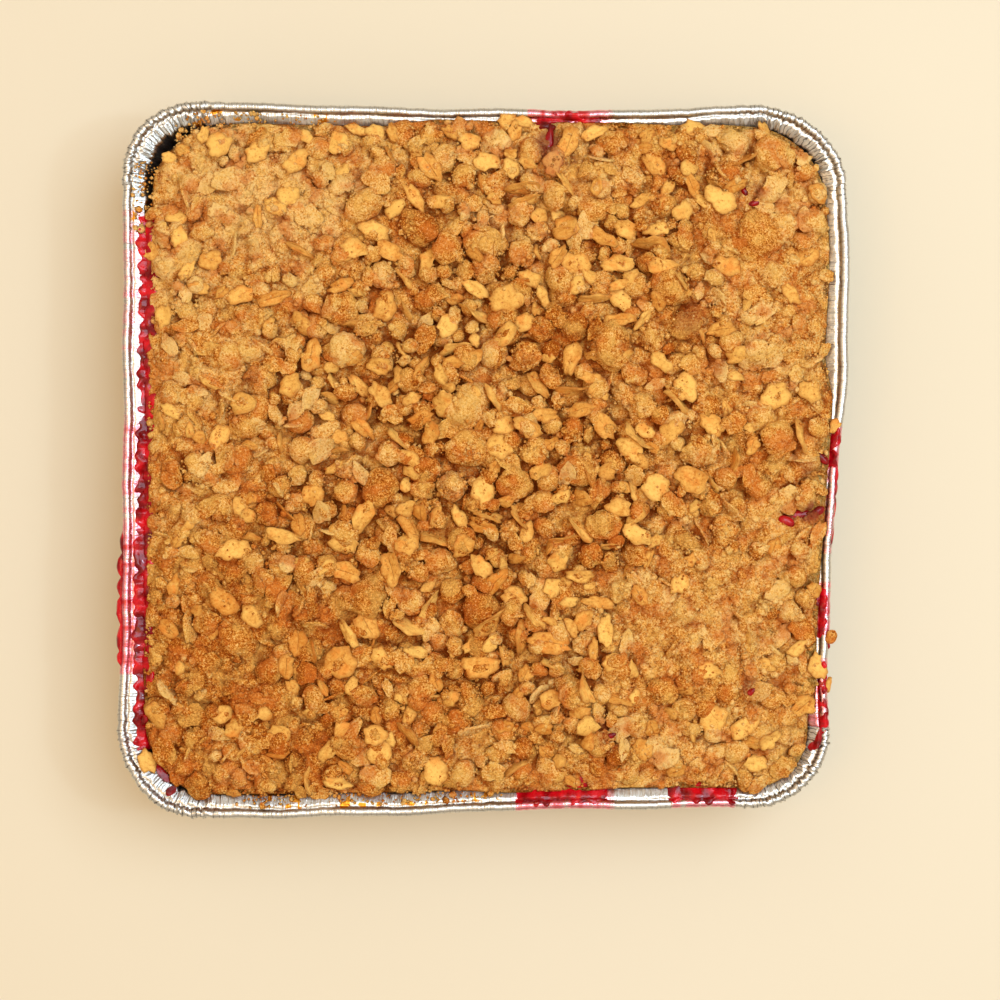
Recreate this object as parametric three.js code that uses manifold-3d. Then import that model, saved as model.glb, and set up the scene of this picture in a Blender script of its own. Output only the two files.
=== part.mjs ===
// Cherry crumb pie baked in a square foil tray, built as three solids:
//   foil_tray       thin aluminium tray with a rolled bead, a flared shoulder and gathered corners
//   cherry_filling  one slab of filling that bubbles up between the crust and the foil
//   crumb_topping   domed crumb crust with its larger nuggets and oat flakes baked on
// Millimetres, +Z up. The origin is on the resting plane, under the middle of the tray's outline.
//
// Every shape is first drawn in a true rounded square, with u to the right and v to the back.
// bend() then moves it to the hand-bent outline of a used foil tray, more at the rim than below,
// before anything is joined or cut.

import * as THREE from "three";
import { mergeVertices } from "three/addons/utils/BufferGeometryUtils.js";
import Module from "manifold-3d";

const wasm = await Module();
wasm.setup();

const tray = {
  side: 202, // over the bead, an 8 inch tray
  cornerRadius: 24,
  rimHeight: 41,
  foil: 0.6,
  beadRadius: 1.6,
  shoulderInset: 6.6, // where the flared shoulder meets the wall, measured in from the outline
  shoulderHeight: 36,
  grooveHeight: 39.3, // the flat step between the shoulder and the bead
  wallLean: 0.161, // inward run for each millimetre down the wall
  pleatDepth: 0.3,
};
const half = tray.side / 2;

const gap = {
  foil: 1.2, // food to foil, which clears the pleats too
  food: 0.5, // crust to filling
};

const filling = {
  floor: 1.0,
  top: 29.6,
  edgeLevel: 38.2, // where it bubbles up beside the crust
  crustInset: 9.3, // how far the crust's lower edge stands back there
  lumps: 10, // along the left side
  lumpRadius: 1.2,
};

const crust = {
  floor: 30.3,
  lip: 39.6, // above this the crust may hang over the filling
  edgeHeight: 41.7,
  crown: 4.4, // rise from the edge to the middle
  crownRun: 7,
  reliefRamp: 12,
  roughness: 1.3, // how far the crust's own surface rises and falls at random
  ragged: 0.6, // the same for its edge
  gridSteps: 26,
};

// The crust's edge around the tray: direction from the centre in degrees, inset from the outline,
// and 1 where the filling shows between the crust and the foil.
const edgeStations = [
  [-161, 7.3, 1], [-146, 6.6, 1], [-136, 8.2, 1], [-128, 6.8, 0], [-95, 6.4, 0],
  [-84, 5.2, 1], [-72, 5.2, 1], [-66, 5.8, 0], [-58, 5.8, 1], [-50, 6.0, 0],
  [-39, 6.4, 1], [-33, 3.4, 0], [-12, 2.9, 0], [8, 3.2, 0], [18, 6.0, 0],
  [32, 5.4, 0], [45, 7.4, 0], [56, 5.0, 0], [70, 3.8, 0], [96, 3.4, 0],
  [108, 5.8, 0], [124, 6.0, 0], [135, 9.2, 0], [146, 8.2, 1], [163, 7.4, 1],
];

// Patches where the topping is fine and sandy, with few nuggets.
const sandyPatches = [
  { u: -62, v: 66, radius: 30 },
  { u: 88, v: 42, radius: 24 },
  { u: 62, v: -46, radius: 34 },
  { u: -74, v: 30, radius: 16 },
];

// The largest nuggets, as [u, v, radius]. The rest are scattered by rule.
const largeNuggets = [
  [76.4, 63.6, 7.6], [67.4, 80.2, 6.0], [79.8, 86.8, 5.2], [36.5, 31.8, 6.6],
  [1.3, 60.2, 6.3], [-37.3, 30.4, 5.6], [-39.0, 41.4, 5.2], [-64.6, 12.4, 6.4],
  [-77.8, -3.1, 6.0], [-32.2, 71.5, 5.2], [-2.7, 15.2, 6.6], [28.3, -2.3, 6.4],
  [62.1, 1.1, 5.8], [82.6, 5.3, 5.2], [52.8, 48.4, 5.6], [26.9, -66.4, 5.8],
  [-67.4, -51.0, 5.4], [-30.3, -38.8, 6.0],
];
const nuggets = { tries: 52, smallest: 3.0, largest: 5.4, flatness: 0.74, sunk: 0.12, margin: 3 };
const flakes = {
  tries: 95,
  shortest: 3.0,
  longest: 4.7,
  thickness: 1.1,
  sides: 7,
  steepest: 0.5, // radians
  lift: 0.7,
  margin: 0.5,
};

// How the rim stands off the true square, in millimetres at the top: each corner's shift, and each
// side's outward arch and its sway towards the side's positive end.
const bends = {
  corners: { rightBack: [1.3, -1.0], leftBack: [0.1, 0.4], leftFront: [-0.7, -0.8], rightFront: [-0.7, 1.4] },
  right: { arch: 0.5, sway: 2.7 },
  back: { arch: -2.4, sway: -0.45 },
  left: { arch: -0.8, sway: 0 },
  front: { arch: -0.7, sway: -1.0 },
};

const fraction = (x) => x - Math.floor(x);
const chance = (index, salt) => fraction(Math.sin(index * 12.9898 + salt * 78.233) * 43758.5453);
const mix = (a, b, t) => a + (b - a) * t;
const clamp01 = (t) => Math.min(1, Math.max(0, t));

// Distance in from the tray's outline: positive inside a rounded square.
function insetOf(u, v) {
  const inner = half - tray.cornerRadius;
  const du = Math.abs(u) - inner;
  const dv = Math.abs(v) - inner;
  const outside = Math.hypot(Math.max(du, 0), Math.max(dv, 0));
  return tray.cornerRadius - outside - Math.min(Math.max(du, dv), 0);
}

// The edge stations, eased from one to the next around the circle: [inset, filling shown].
function edgeAt(u, v) {
  const angle = THREE.MathUtils.radToDeg(Math.atan2(v, u));
  const count = edgeStations.length;
  const after = edgeStations.findIndex((station) => station[0] > angle);
  const next = edgeStations[after < 0 ? 0 : after];
  const last = edgeStations[after < 0 ? count - 1 : (after + count - 1) % count];
  const span = THREE.MathUtils.euclideanModulo(next[0] - last[0], 360);
  const run = THREE.MathUtils.euclideanModulo(angle - last[0], 360) / span;
  const eased = THREE.MathUtils.smoothstep(run, 0, 1);
  return [mix(last[1], next[1], eased), mix(last[2], next[2], eased)];
}

// How far in from the outline food must stay at a height, to clear the foil: in from the wall, in
// from the shoulder, in from the bead, and then out over it.
function foilClearance(z) {
  const wallTop = tray.shoulderInset + gap.foil;
  if (z <= tray.shoulderHeight) return wallTop + tray.wallLean * (tray.shoulderHeight - z);
  const between = (from, to) => clamp01((z - from) / (to - from));
  const step = tray.grooveHeight;
  const stepInset = 5.5;
  if (z <= step) return mix(wallTop, stepInset, between(tray.shoulderHeight, step));
  const overBead = tray.rimHeight + 0.4;
  if (z <= overBead) return mix(stepInset, 3.3, between(step, overBead));
  return 0.9;
}

// Columns of a swept ring, anticlockwise from the right side's front end. Each is a place on the
// outline with its outward normal; pleat is 1 or -1 in a gathered corner and 0 along a side.
function outlineColumns(sideSteps, cornerSteps) {
  const inner = half - tray.cornerRadius;
  const columns = [];
  for (let quarter = 0; quarter < 4; quarter++) {
    const turn = (quarter * Math.PI) / 2;
    const add = (u, v, angle, pleat) => {
      const [c, s] = [Math.cos(turn), Math.sin(turn)];
      columns.push({
        u: u * c - v * s,
        v: u * s + v * c,
        nu: Math.cos(angle + turn),
        nv: Math.sin(angle + turn),
        pleat,
      });
    };
    for (let i = 0; i < sideSteps; i++) add(half, mix(-inner, inner, i / sideSteps), 0, 0);
    for (let i = 0; i < cornerSteps; i++) {
      const angle = (i / cornerSteps) * (Math.PI / 2);
      const reach = tray.cornerRadius;
      add(inner + reach * Math.cos(angle), inner + reach * Math.sin(angle), angle, i % 2 ? 1 : -1);
    }
  }
  return columns;
}

// A closed ring solid: each column carries a profile of [inset, height] points, from the middle of
// the underside out and round to the middle of the top. Fans close both middles.
function ringSolid(columns, profileOf) {
  const profiles = columns.map(profileOf);
  const count = columns.length;
  const points = profiles[0].length;
  const positions = [];
  columns.forEach((column, i) => {
    for (const [inset, z] of profiles[i]) {
      positions.push(column.u - column.nu * inset, column.v - column.nv * inset, z);
    }
  });
  positions.push(0, 0, profiles[0][0][1], 0, 0, profiles[0][points - 1][1]);
  const underside = count * points;
  const middle = underside + 1;
  const index = [];
  for (let i = 0; i < count; i++) {
    const a = i * points;
    const b = ((i + 1) % count) * points;
    for (let p = 0; p < points - 1; p++) {
      index.push(a + p, b + p, b + p + 1, a + p, b + p + 1, a + p + 1);
    }
    index.push(underside, b, a, middle, a + points - 1, b + points - 1);
  }
  return geometryOf(positions, index);
}

function geometryOf(positions, index) {
  const geometry = new THREE.BufferGeometry();
  geometry.setAttribute("position", new THREE.Float32BufferAttribute(positions, 3));
  return geometry.setIndex(index);
}

// A solid for joining and cutting, from a geometry drawn in the true square.
function toManifold(geometry) {
  const bare = bend(geometry.clone());
  bare.deleteAttribute("normal");
  bare.deleteAttribute("uv");
  const merged = mergeVertices(bare, 1e-4);
  const mesh = new wasm.Mesh({
    numProp: 3,
    vertProperties: new Float32Array(merged.attributes.position.array),
    triVerts: new Uint32Array(merged.index.array),
  });
  return new wasm.Manifold(mesh);
}

// The largest body of a solid, which drops sealed hollows and loose scraps, as a geometry.
function toGeometry(solid) {
  const shortestEdge = 0.04;
  const bodies = solid.simplify(shortestEdge).decompose();
  const largest = bodies.reduce((best, body) => (body.volume() > best.volume() ? body : best));
  const mesh = largest.getMesh();
  const positions = [];
  for (let i = 0; i < mesh.numVert; i++) {
    positions.push(...mesh.vertProperties.slice(i * mesh.numProp, i * mesh.numProp + 3));
  }
  return geometryOf(positions, Array.from(mesh.triVerts));
}

// Moves a geometry from the true square to the tray's hand-bent shape.
function bend(geometry) {
  const lean = (w, side) => side.arch * Math.cos((w * Math.PI) / 2) + side.sway * Math.sin(w * Math.PI);
  const { rightBack, leftBack, leftFront, rightFront } = bends.corners;
  const place = geometry.attributes.position;
  for (let i = 0; i < place.count; i++) {
    const [a, b] = [place.getX(i) / half, place.getY(i) / half];
    const rise = clamp01(place.getZ(i) / tray.rimHeight);
    const corner = (k) =>
      mix(
        mix(leftFront[k], rightFront[k], (1 + a) / 2),
        mix(leftBack[k], rightBack[k], (1 + a) / 2),
        (1 + b) / 2,
      );
    const across = lean(b, bends.right) * clamp01(a) ** 2 - lean(b, bends.left) * clamp01(-a) ** 2;
    const along = lean(a, bends.back) * clamp01(b) ** 2 - lean(a, bends.front) * clamp01(-b) ** 2;
    place.setX(i, place.getX(i) + rise * (corner(0) + across));
    place.setY(i, place.getY(i) + rise * (corner(1) + along));
  }
  return geometry;
}

function trayGeometry() {
  const { rimHeight, beadRadius, foil, shoulderInset, shoulderHeight, grooveHeight, wallLean } = tray;
  const beadHeight = rimHeight - beadRadius;
  const bead = (degrees) => {
    const angle = THREE.MathUtils.degToRad(degrees);
    return [beadRadius - beadRadius * Math.cos(angle), beadHeight + beadRadius * Math.sin(angle)];
  };
  const cornerHeight = 5;
  const wallEnd = shoulderInset + wallLean * (shoulderHeight - cornerHeight);
  const floorEdge = wallEnd + 4.2;
  const grooveInset = beadRadius * 2 + 0.2;
  const profile = [
    [floorEdge, 0],
    [wallEnd + 1, 1.4],
    [wallEnd - foil, cornerHeight],
    [shoulderInset - foil, shoulderHeight + foil / 3],
    [grooveInset, grooveHeight - foil],
    bead(-110),
    bead(-55),
    bead(0),
    bead(45),
    bead(90),
    bead(135),
    [grooveInset, grooveHeight],
    [grooveInset + 0.8, grooveHeight],
    [shoulderInset, shoulderHeight],
    [wallEnd, cornerHeight],
    [wallEnd + 1.6, 2.1],
    [floorEdge, foil],
  ];
  // Pleats grow from nothing at the floor to their full depth on the shoulder, and mark the bead.
  return ringSolid(outlineColumns(8, 12), (column) =>
    profile.map(([inset, z]) => {
      const depth = tray.pleatDepth * clamp01(z / shoulderHeight) ** 2 * (z > beadHeight ? 0.5 : 1);
      return [inset + column.pleat * depth + (column.pleat ? depth : 0), z];
    }),
  );
}

// Columns for the food, each with its crust edge, how far the filling shows there, and whether it
// shows there or at a neighbour, where the crust must stand back.
const foodColumns = outlineColumns(8, 5).map((column, i) => {
  const [edge, shown] = edgeAt(column.u, column.v);
  const ragged = mix(-crust.ragged, crust.ragged, chance(i, 31));
  return { ...column, edge: edge + ragged, shown };
});
foodColumns.forEach((column, i) => {
  const count = foodColumns.length;
  const beside = [i + count - 1, i, i + 1].map((k) => foodColumns[k % count].shown);
  column.recessed = Math.max(...beside) > 0.3;
});

function fillingGeometry() {
  const wall = (z) => [foilClearance(z), z];
  const slab = ringSolid(foodColumns, ({ shown }) => {
    const level = mix(filling.top + 0.1, filling.edgeLevel, clamp01(shown * 2 - 0.6));
    const back = filling.crustInset - gap.food;
    return [
      [foilClearance(2) + 4, filling.floor],
      wall(6),
      wall(filling.top - 0.4),
      wall(Math.min(level - 0.1, tray.shoulderHeight)),
      wall(level),
      [mix(foilClearance(level), back, 0.5), level + 0.3],
      [back, level],
      [back, filling.top],
    ];
  });
  const solids = [toManifold(slab)];
  for (let i = 0; i < filling.lumps; i++) {
    const angle = THREE.MathUtils.degToRad(mix(147, 214, (i + 0.3 * chance(i, 1)) / filling.lumps));
    const radius = filling.lumpRadius * mix(0.8, 1, chance(i, 2));
    const place = atInset(angle, filling.crustInset - gap.food - radius - 0.1);
    const lump = new THREE.DodecahedronGeometry(radius).rotateZ(i);
    solids.push(toManifold(lump.translate(place.u, place.v, filling.edgeLevel + 0.7 - radius)));
  }
  return toGeometry(wasm.Manifold.union(solids));
}

// The point at an inset from the outline, in a direction from the centre.
function atInset(angle, inset) {
  let [near, far] = [0, half * 1.5];
  for (let i = 0; i < 30; i++) {
    const middle = (near + far) / 2;
    if (insetOf(middle * Math.cos(angle), middle * Math.sin(angle)) > inset) near = middle;
    else far = middle;
  }
  return { u: near * Math.cos(angle), v: near * Math.sin(angle) };
}

// Height of the crust without its nuggets and flakes: a domed edge, then low rolling relief.
function crustHeight(u, v) {
  const inside = Math.max(0, insetOf(u, v) - edgeAt(u, v)[0]);
  const relief =
    0.9 * Math.sin(u / 13 + 1.3) * Math.cos(v / 17 - 0.4) +
    0.6 * Math.sin((u + v) / 8.3) +
    0.5 * Math.sin(u / 5.7 - v / 6.9);
  return (
    crust.edgeHeight +
    crust.crown * (1 - Math.exp(-inside / crust.crownRun)) +
    relief * clamp01(inside / crust.reliefRamp)
  );
}

// How sandy the topping is at a point, from 0 to 1.
function sandiness(u, v) {
  const nearness = (patch) => 1 - Math.hypot(u - patch.u, v - patch.v) / patch.radius;
  return clamp01(1.6 * Math.max(0, ...sandyPatches.map(nearness)));
}

// A block under the crust's height, wider than the crust, to be cut to its edge.
function crustBlock() {
  const steps = crust.gridSteps;
  const size = steps + 1;
  const positions = [];
  for (const top of [1, 0]) {
    for (let j = 0; j < size; j++) {
      for (let i = 0; i < size; i++) {
        const u = mix(-half, half, i / steps);
        const v = mix(-half, half, j / steps);
        const rough = mix(-crust.roughness, crust.roughness, chance(j * size + i, 32));
        positions.push(u, v, top ? crustHeight(u, v) + rough : crust.floor - 5);
      }
    }
  }
  const under = size * size;
  const index = [];
  for (let j = 0; j < steps; j++) {
    for (let i = 0; i < steps; i++) {
      const a = j * size + i;
      const [b, c, d] = [a + 1, a + size + 1, a + size];
      index.push(a, b, c, a, c, d);
      index.push(under + a, under + c, under + b, under + a, under + d, under + c);
    }
  }
  const border = [];
  for (let i = 0; i < steps; i++) border.push(i);
  for (let j = 0; j < steps; j++) border.push(j * size + steps);
  for (let i = steps; i > 0; i--) border.push(steps * size + i);
  for (let j = steps; j > 0; j--) border.push(j * size);
  border.forEach((a, k) => {
    const b = border[(k + 1) % border.length];
    index.push(a, under + a, under + b, a, under + b, b);
  });
  return geometryOf(positions, index);
}

// A prism that follows the crust's edge and clears the foil. With reach it opens above the lip, for
// flakes and nuggets that hang over the edge.
function crustEnvelope(reach) {
  return ringSolid(foodColumns, ({ edge, recessed }) => {
    const low = recessed ? filling.crustInset : edge;
    const open = Math.max(0, edge - reach);
    const below = (z) => [Math.max(low, foilClearance(z)), z];
    const above = (z) => [Math.max(open, foilClearance(z)), z];
    return [
      below(crust.floor),
      below(tray.shoulderHeight),
      below(crust.lip - 0.2),
      above(crust.lip),
      above(tray.rimHeight + 0.4),
      above(tray.rimHeight + 0.5),
      above(tray.rimHeight + 20),
    ];
  });
}

// Even, patternless places over the crust, from two irrational steps, each kept or dropped by rule.
function scatter(count, salt, margin, keep) {
  const stepU = 0.7548776662;
  const stepV = 0.569840291;
  const places = [];
  for (let i = 0; i < count; i++) {
    const u = half * (2 * fraction(0.5 + (i + 1) * stepU + salt * 0.37) - 1);
    const v = half * (2 * fraction(0.5 + (i + 1) * stepV + salt * 0.61) - 1);
    const room = insetOf(u, v) - edgeAt(u, v)[0];
    if (room > margin && keep(u, v, i)) places.push({ u, v, index: i });
  }
  return places;
}

// One nugget: a lumpy flattened ball of crumb, sunk a little into the crust.
function nuggetGeometry({ u, v, index, size }) {
  const radius = size ?? mix(nuggets.smallest, nuggets.largest, chance(index, 3) ** 1.6);
  const ball = radius > 4 ? new THREE.IcosahedronGeometry(1, 1) : new THREE.DodecahedronGeometry(1);
  ball.deleteAttribute("normal");
  ball.deleteAttribute("uv");
  const lump = mergeVertices(ball);
  const place = lump.attributes.position;
  for (let i = 0; i < place.count; i++) {
    const swell = mix(0.84, 1.14, chance(i, index + 5));
    place.setXYZ(i, place.getX(i) * swell, place.getY(i) * swell, place.getZ(i) * swell);
  }
  return lump
    .scale(radius, radius * mix(0.72, 1, chance(index, 7)), radius * nuggets.flatness)
    .rotateZ(Math.PI * chance(index, 8))
    .translate(u, v, crustHeight(u, v) - radius * nuggets.sunk);
}

// One oat flake: a thin oval plate with an uneven outline, its top a little domed and tilted.
function flakeGeometry({ u, v, index }) {
  const long = mix(flakes.shortest, flakes.longest, chance(index, 11));
  const wide = long * mix(0.66, 0.84, chance(index, 12));
  const plate = new THREE.CylinderGeometry(1, 0.92, flakes.thickness, flakes.sides);
  plate.deleteAttribute("normal");
  plate.deleteAttribute("uv");
  const flake = mergeVertices(plate).rotateX(Math.PI / 2);
  const place = flake.attributes.position;
  for (let i = 0; i < place.count; i++) {
    const [x, y, z] = [place.getX(i), place.getY(i), place.getZ(i)];
    const corner = Math.round((Math.atan2(y, x) / Math.PI) * 10);
    const swell = mix(0.86, 1.1, chance(corner + 9, index));
    const onAxis = Math.hypot(x, y) < 0.1;
    place.setXYZ(i, x * long * swell, y * wide * swell, onAxis && z > 0 ? z + 0.35 : z);
  }
  const tilt = flakes.steepest * chance(index, 13) ** 1.5;
  const drop = crustHeight(u + 2, v) - crustHeight(u - 2, v);
  const climb = crustHeight(u, v + 2) - crustHeight(u, v - 2);
  return flake
    .rotateY(tilt * (chance(index, 14) < 0.5 ? -1 : 1))
    .rotateZ(2 * Math.PI * chance(index, 15))
    .rotateX(Math.atan(climb / 4))
    .rotateY(-Math.atan(drop / 4))
    .translate(u, v, crustHeight(u, v) + flakes.lift);
}

function toppingGeometry() {
  const body = toManifold(crustBlock()).intersect(toManifold(crustEnvelope(0)));
  const lumps = scatter(nuggets.tries, 1, nuggets.margin, (u, v, i) => chance(i, 21) > sandiness(u, v));
  const spots = scatter(flakes.tries, 2, flakes.margin, (u, v, i) => chance(i, 22) > 0.5 * sandiness(u, v));
  const large = largeNuggets.map(([u, v, size], i) => ({ u, v, size, index: nuggets.tries + i }));
  const pieces = [
    ...large.map(nuggetGeometry),
    ...lumps.map(nuggetGeometry),
    ...spots.map(flakeGeometry),
  ].map(toManifold);
  const joined = wasm.Manifold.union([body, ...pieces]);
  return toGeometry(joined.intersect(toManifold(crustEnvelope(1.5))));
}

function addPiece(group, name, geometry, colour, roughness, metalness) {
  const material = new THREE.MeshStandardMaterial({ color: colour, roughness, metalness });
  const mesh = new THREE.Mesh(geometry, material);
  mesh.name = name;
  group.add(mesh);
  return mesh;
}

const pie = new THREE.Group();
const foilTray = addPiece(pie, "foil_tray", bend(trayGeometry()), 0xd9d9d6, 0.28, 1);
addPiece(pie, "cherry_filling", fillingGeometry(), 0xa80f14, 0.2, 0);
addPiece(pie, "crumb_topping", toppingGeometry(), 0xc8843d, 0.85, 0);

// The bent outline isn't quite centred, so the whole pie is shifted to put its middle at the origin.
foilTray.geometry.computeBoundingBox();
const middle = foilTray.geometry.boundingBox.getCenter(new THREE.Vector3());
for (const mesh of pie.children) mesh.geometry.translate(-middle.x, -middle.y, 0);

export default pie;
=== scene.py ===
import math
import bpy
import numpy as np
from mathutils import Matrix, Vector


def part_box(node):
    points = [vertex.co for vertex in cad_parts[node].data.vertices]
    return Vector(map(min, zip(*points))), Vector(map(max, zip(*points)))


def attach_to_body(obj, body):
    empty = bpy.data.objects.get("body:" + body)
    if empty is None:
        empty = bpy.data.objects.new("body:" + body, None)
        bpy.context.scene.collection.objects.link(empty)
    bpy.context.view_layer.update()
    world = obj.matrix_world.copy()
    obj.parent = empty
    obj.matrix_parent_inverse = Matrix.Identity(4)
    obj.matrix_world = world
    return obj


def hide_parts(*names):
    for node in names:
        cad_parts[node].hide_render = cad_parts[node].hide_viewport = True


# Cherry crumb pie in a square foil tray, seen from straight above.
# Shapes are worked out in millimetres, in a true rounded square with u to the right and v to the
# back. bend() then moves them to the tray's hand-bent outline, and makeMesh() turns them into metres.

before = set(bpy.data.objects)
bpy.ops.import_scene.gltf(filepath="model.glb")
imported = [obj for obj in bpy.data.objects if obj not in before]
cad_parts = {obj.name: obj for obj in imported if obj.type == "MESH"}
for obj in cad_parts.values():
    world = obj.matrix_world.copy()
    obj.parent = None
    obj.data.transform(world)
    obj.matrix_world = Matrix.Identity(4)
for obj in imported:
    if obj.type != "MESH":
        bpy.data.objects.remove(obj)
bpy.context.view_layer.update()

tray = {
    "half": 101.0,           # half the side over the bead
    "corner": 24.0,          # radius of the outline's corners
    "rim": 1000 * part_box("foil_tray")[1][2],   # height of the bead's top
    "bead": 1.3,             # radius of the rolled bead
    "groove": (2.7, 39.8),   # inset and height of the crease inside the bead
    "shoulder": (6.6, 38.4), # inset and height where the flared shoulder meets the wall
    "lean": 0.161,           # inward run of the wall for each millimetre down
    "foil": 0.5,             # thickness
}

# How the rim stands off the true square: each corner's shift, each side's outward arch and its
# sway towards the side's positive end.
bends = {
    "rightBack": (1.3, -1.0), "leftBack": (0.1, 0.4), "leftFront": (-0.7, -0.8), "rightFront": (-0.7, 1.4),
    "right": (0.5, 2.7), "back": (-2.4, -0.45), "left": (-0.8, 0.0), "front": (-0.7, -1.0),
}

# The crust's edge around the tray: direction in degrees, inset from the outline, and how far the
# filling shows beside it.
edgeStations = np.array([
    (-161, 6.9, 1), (-148, 6.4, 1), (-143, 7.0, 0), (-136, 8.6, 0), (-128, 6.8, 0), (-95, 6.4, 0),
    (-84, 5.2, 1), (-72, 5.2, 1), (-66, 5.8, 0), (-58, 5.8, 1), (-50, 6.0, 0),
    (-39, 6.4, 1), (-33, 3.4, 0), (-12, 2.9, 0), (8, 3.2, 0), (18, 6.0, 0),
    (32, 5.4, 0), (45, 7.4, 0), (56, 5.0, 0), (70, 3.8, 0), (96, 3.4, 0),
    (108, 5.8, 0), (124, 6.0, 0), (135, 9.2, 0), (143, 8.4, 0), (147, 7.8, 1), (163, 7.0, 1),
], dtype=float)

crust = {
    "floor": 30.6, "edgeHeight": 41.7, "crown": 4.4, "crownRun": 7.0, "reliefRamp": 12.0,
    "lip": 36.5,             # foot of the crust's edge
    "cells": 306,            # mesh cells across
    "sunk": 0.8,             # how far the bare crust lies under the finished surface
    "pitLow": 2.6,           # and how much further where nuggets crowd
    "pileHigh": 3.4,         # how high pieces may pile over the finished surface
}


# A fixed pseudo-random draw for an index: the part past the whole number of a large sine.
def chance(index, salt):
    large = np.sin(np.asarray(index) * 12.9898 + salt * 78.233) * 43758.5453
    return large - np.floor(large)


# From a to b as t goes from 0 to 1.
def mix(a, b, t):
    return a + (b - a) * t


# Eased step from 0 at low to 1 at high.
def ease(low, high, x):
    t = np.clip((x - low) / (high - low), 0, 1)
    return t * t * (3 - 2 * t)


# Distance in from the tray's outline: the corner radius less the distance past the inner square.
def insetOf(u, v):
    inner = tray["half"] - tray["corner"]
    du, dv = np.abs(u) - inner, np.abs(v) - inner
    outside = np.hypot(np.maximum(du, 0), np.maximum(dv, 0))
    return tray["corner"] - outside - np.minimum(np.maximum(du, dv), 0)


# The edge stations eased from one to the next around the circle: inset, and filling shown.
def edgeAt(u, v):
    angle = np.degrees(np.arctan2(v, u))
    ring = np.vstack([edgeStations[-1] - (360, 0, 0), edgeStations, edgeStations[0] + (360, 0, 0)])
    after = np.clip(np.searchsorted(ring[:, 0], angle, side="right"), 1, len(ring) - 1)
    last, following = ring[after - 1], ring[after]
    t = ease(0, 1, (angle - last[..., 0]) / (following[..., 0] - last[..., 0]))
    return mix(last[..., 1], following[..., 1], t), mix(last[..., 2], following[..., 2], t)


# How far in from the crust's edge a place is.
def roomAt(u, v):
    return insetOf(u, v) - edgeAt(u, v)[0]


# A position turned about +Z.
def turned(x, y, turn):
    c, s = np.cos(turn), np.sin(turn)
    return x * c - y * s, x * s + y * c


# Each side leans out by arch * cos(pi w / 2) + sway * sin(pi w), with w from -1 to 1 along it, and
# fades inwards with the square of the distance; corners shift bilinearly; all grows with height.
def bend(u, v, z):
    a, b = u / tray["half"], v / tray["half"]
    rise = np.clip(z / tray["rim"], 0, 1)

    def lean(w, side):
        arch, sway = bends[side]
        return arch * np.cos(w * math.pi / 2) + sway * np.sin(w * math.pi)

    def corner(k):
        front = mix(bends["leftFront"][k], bends["rightFront"][k], (1 + a) / 2)
        back = mix(bends["leftBack"][k], bends["rightBack"][k], (1 + a) / 2)
        return mix(front, back, (1 + b) / 2)

    across = lean(b, "right") * np.clip(a, 0, 1) ** 2 - lean(b, "left") * np.clip(-a, 0, 1) ** 2
    along = lean(a, "back") * np.clip(b, 0, 1) ** 2 - lean(a, "front") * np.clip(-b, 0, 1) ** 2
    return u + rise * (corner(0) + across), v + rise * (corner(1) + along)


# Lengths along the outline, anticlockwise from the front end of the right side.
straight = 2 * (tray["half"] - tray["corner"])
quarterLength = straight + tray["corner"] * math.pi / 2


# The outline at a length along it: position, outward normal, and how far into a gathered corner,
# from 0 to 1. A quarter is one side and the corner after it, turned to its place.
def alongOutline(arc):
    quarter = np.floor(arc / quarterLength)
    rest = arc - quarter * quarterLength
    inner, reach = tray["half"] - tray["corner"], tray["corner"]
    turn = np.maximum(rest - straight, 0) / reach
    u, v = inner + reach * np.cos(turn), np.minimum(rest, straight) - inner + reach * np.sin(turn)
    half = quarterLength / 2
    away = np.abs((rest - straight - reach * math.pi / 4 + half) % quarterLength - half)
    u, v = turned(u, v, quarter * math.pi / 2)
    heading = turn + quarter * math.pi / 2
    return {"u": u, "v": v, "nu": np.cos(heading), "nv": np.sin(heading),
            "arc": arc, "corner": 1 - ease(reach * 0.62, reach * 1.25, away)}


# Places at an inset from places along the outline.
def inwards(columns, inset):
    return columns["u"] - columns["nu"] * inset, columns["v"] - columns["nv"] * inset


# Columns around the outline, with their own number on each side and in each corner.
def outline(sideSteps, cornerSteps):
    side = np.linspace(0, straight, sideSteps, endpoint=False)
    corner = np.linspace(straight, quarterLength, cornerSteps, endpoint=False)
    one = np.concatenate([side, corner])
    return alongOutline((one[None] + np.arange(4)[:, None] * quarterLength).reshape(-1, 1))


# The length along the outline of a place on a named side, given by u or v along that side.
def arcOf(side, along):
    quarter = ("right", "back", "left", "front").index(side)
    return quarter * quarterLength + straight / 2 + (along if side in ("right", "front") else -along)


perimeter = 4 * quarterLength
rimColumns = outline(200, 60)
rimPlace = np.stack(bend(rimColumns["u"], rimColumns["v"], tray["rim"]))[..., 0]
middleOfRim = (rimPlace.min(axis=1) + rimPlace.max(axis=1)) / 2


# From the true square to the frame: bent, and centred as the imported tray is.
def place(u, v, z):
    x, y = bend(u, v, z)
    return np.stack([x - middleOfRim[0], y - middleOfRim[1], z], axis=-1)


# The reverse of place(): u and v of a position in the frame, by three corrections.
def unplaced(x, y, z):
    u, v = x.copy(), y.copy()
    for _ in range(3):
        there = place(u, v, z)
        u, v = u + x - there[..., 0], v + y - there[..., 1]
    return u, v


# Random sizes between two, even in their logarithm; a higher power makes more small ones.
def randomSizes(rng, count, small, large, power):
    return small * (large / small) ** (rng.random(count) ** power)


latticeReach = 135    # half the width that the random lattices cover


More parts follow.
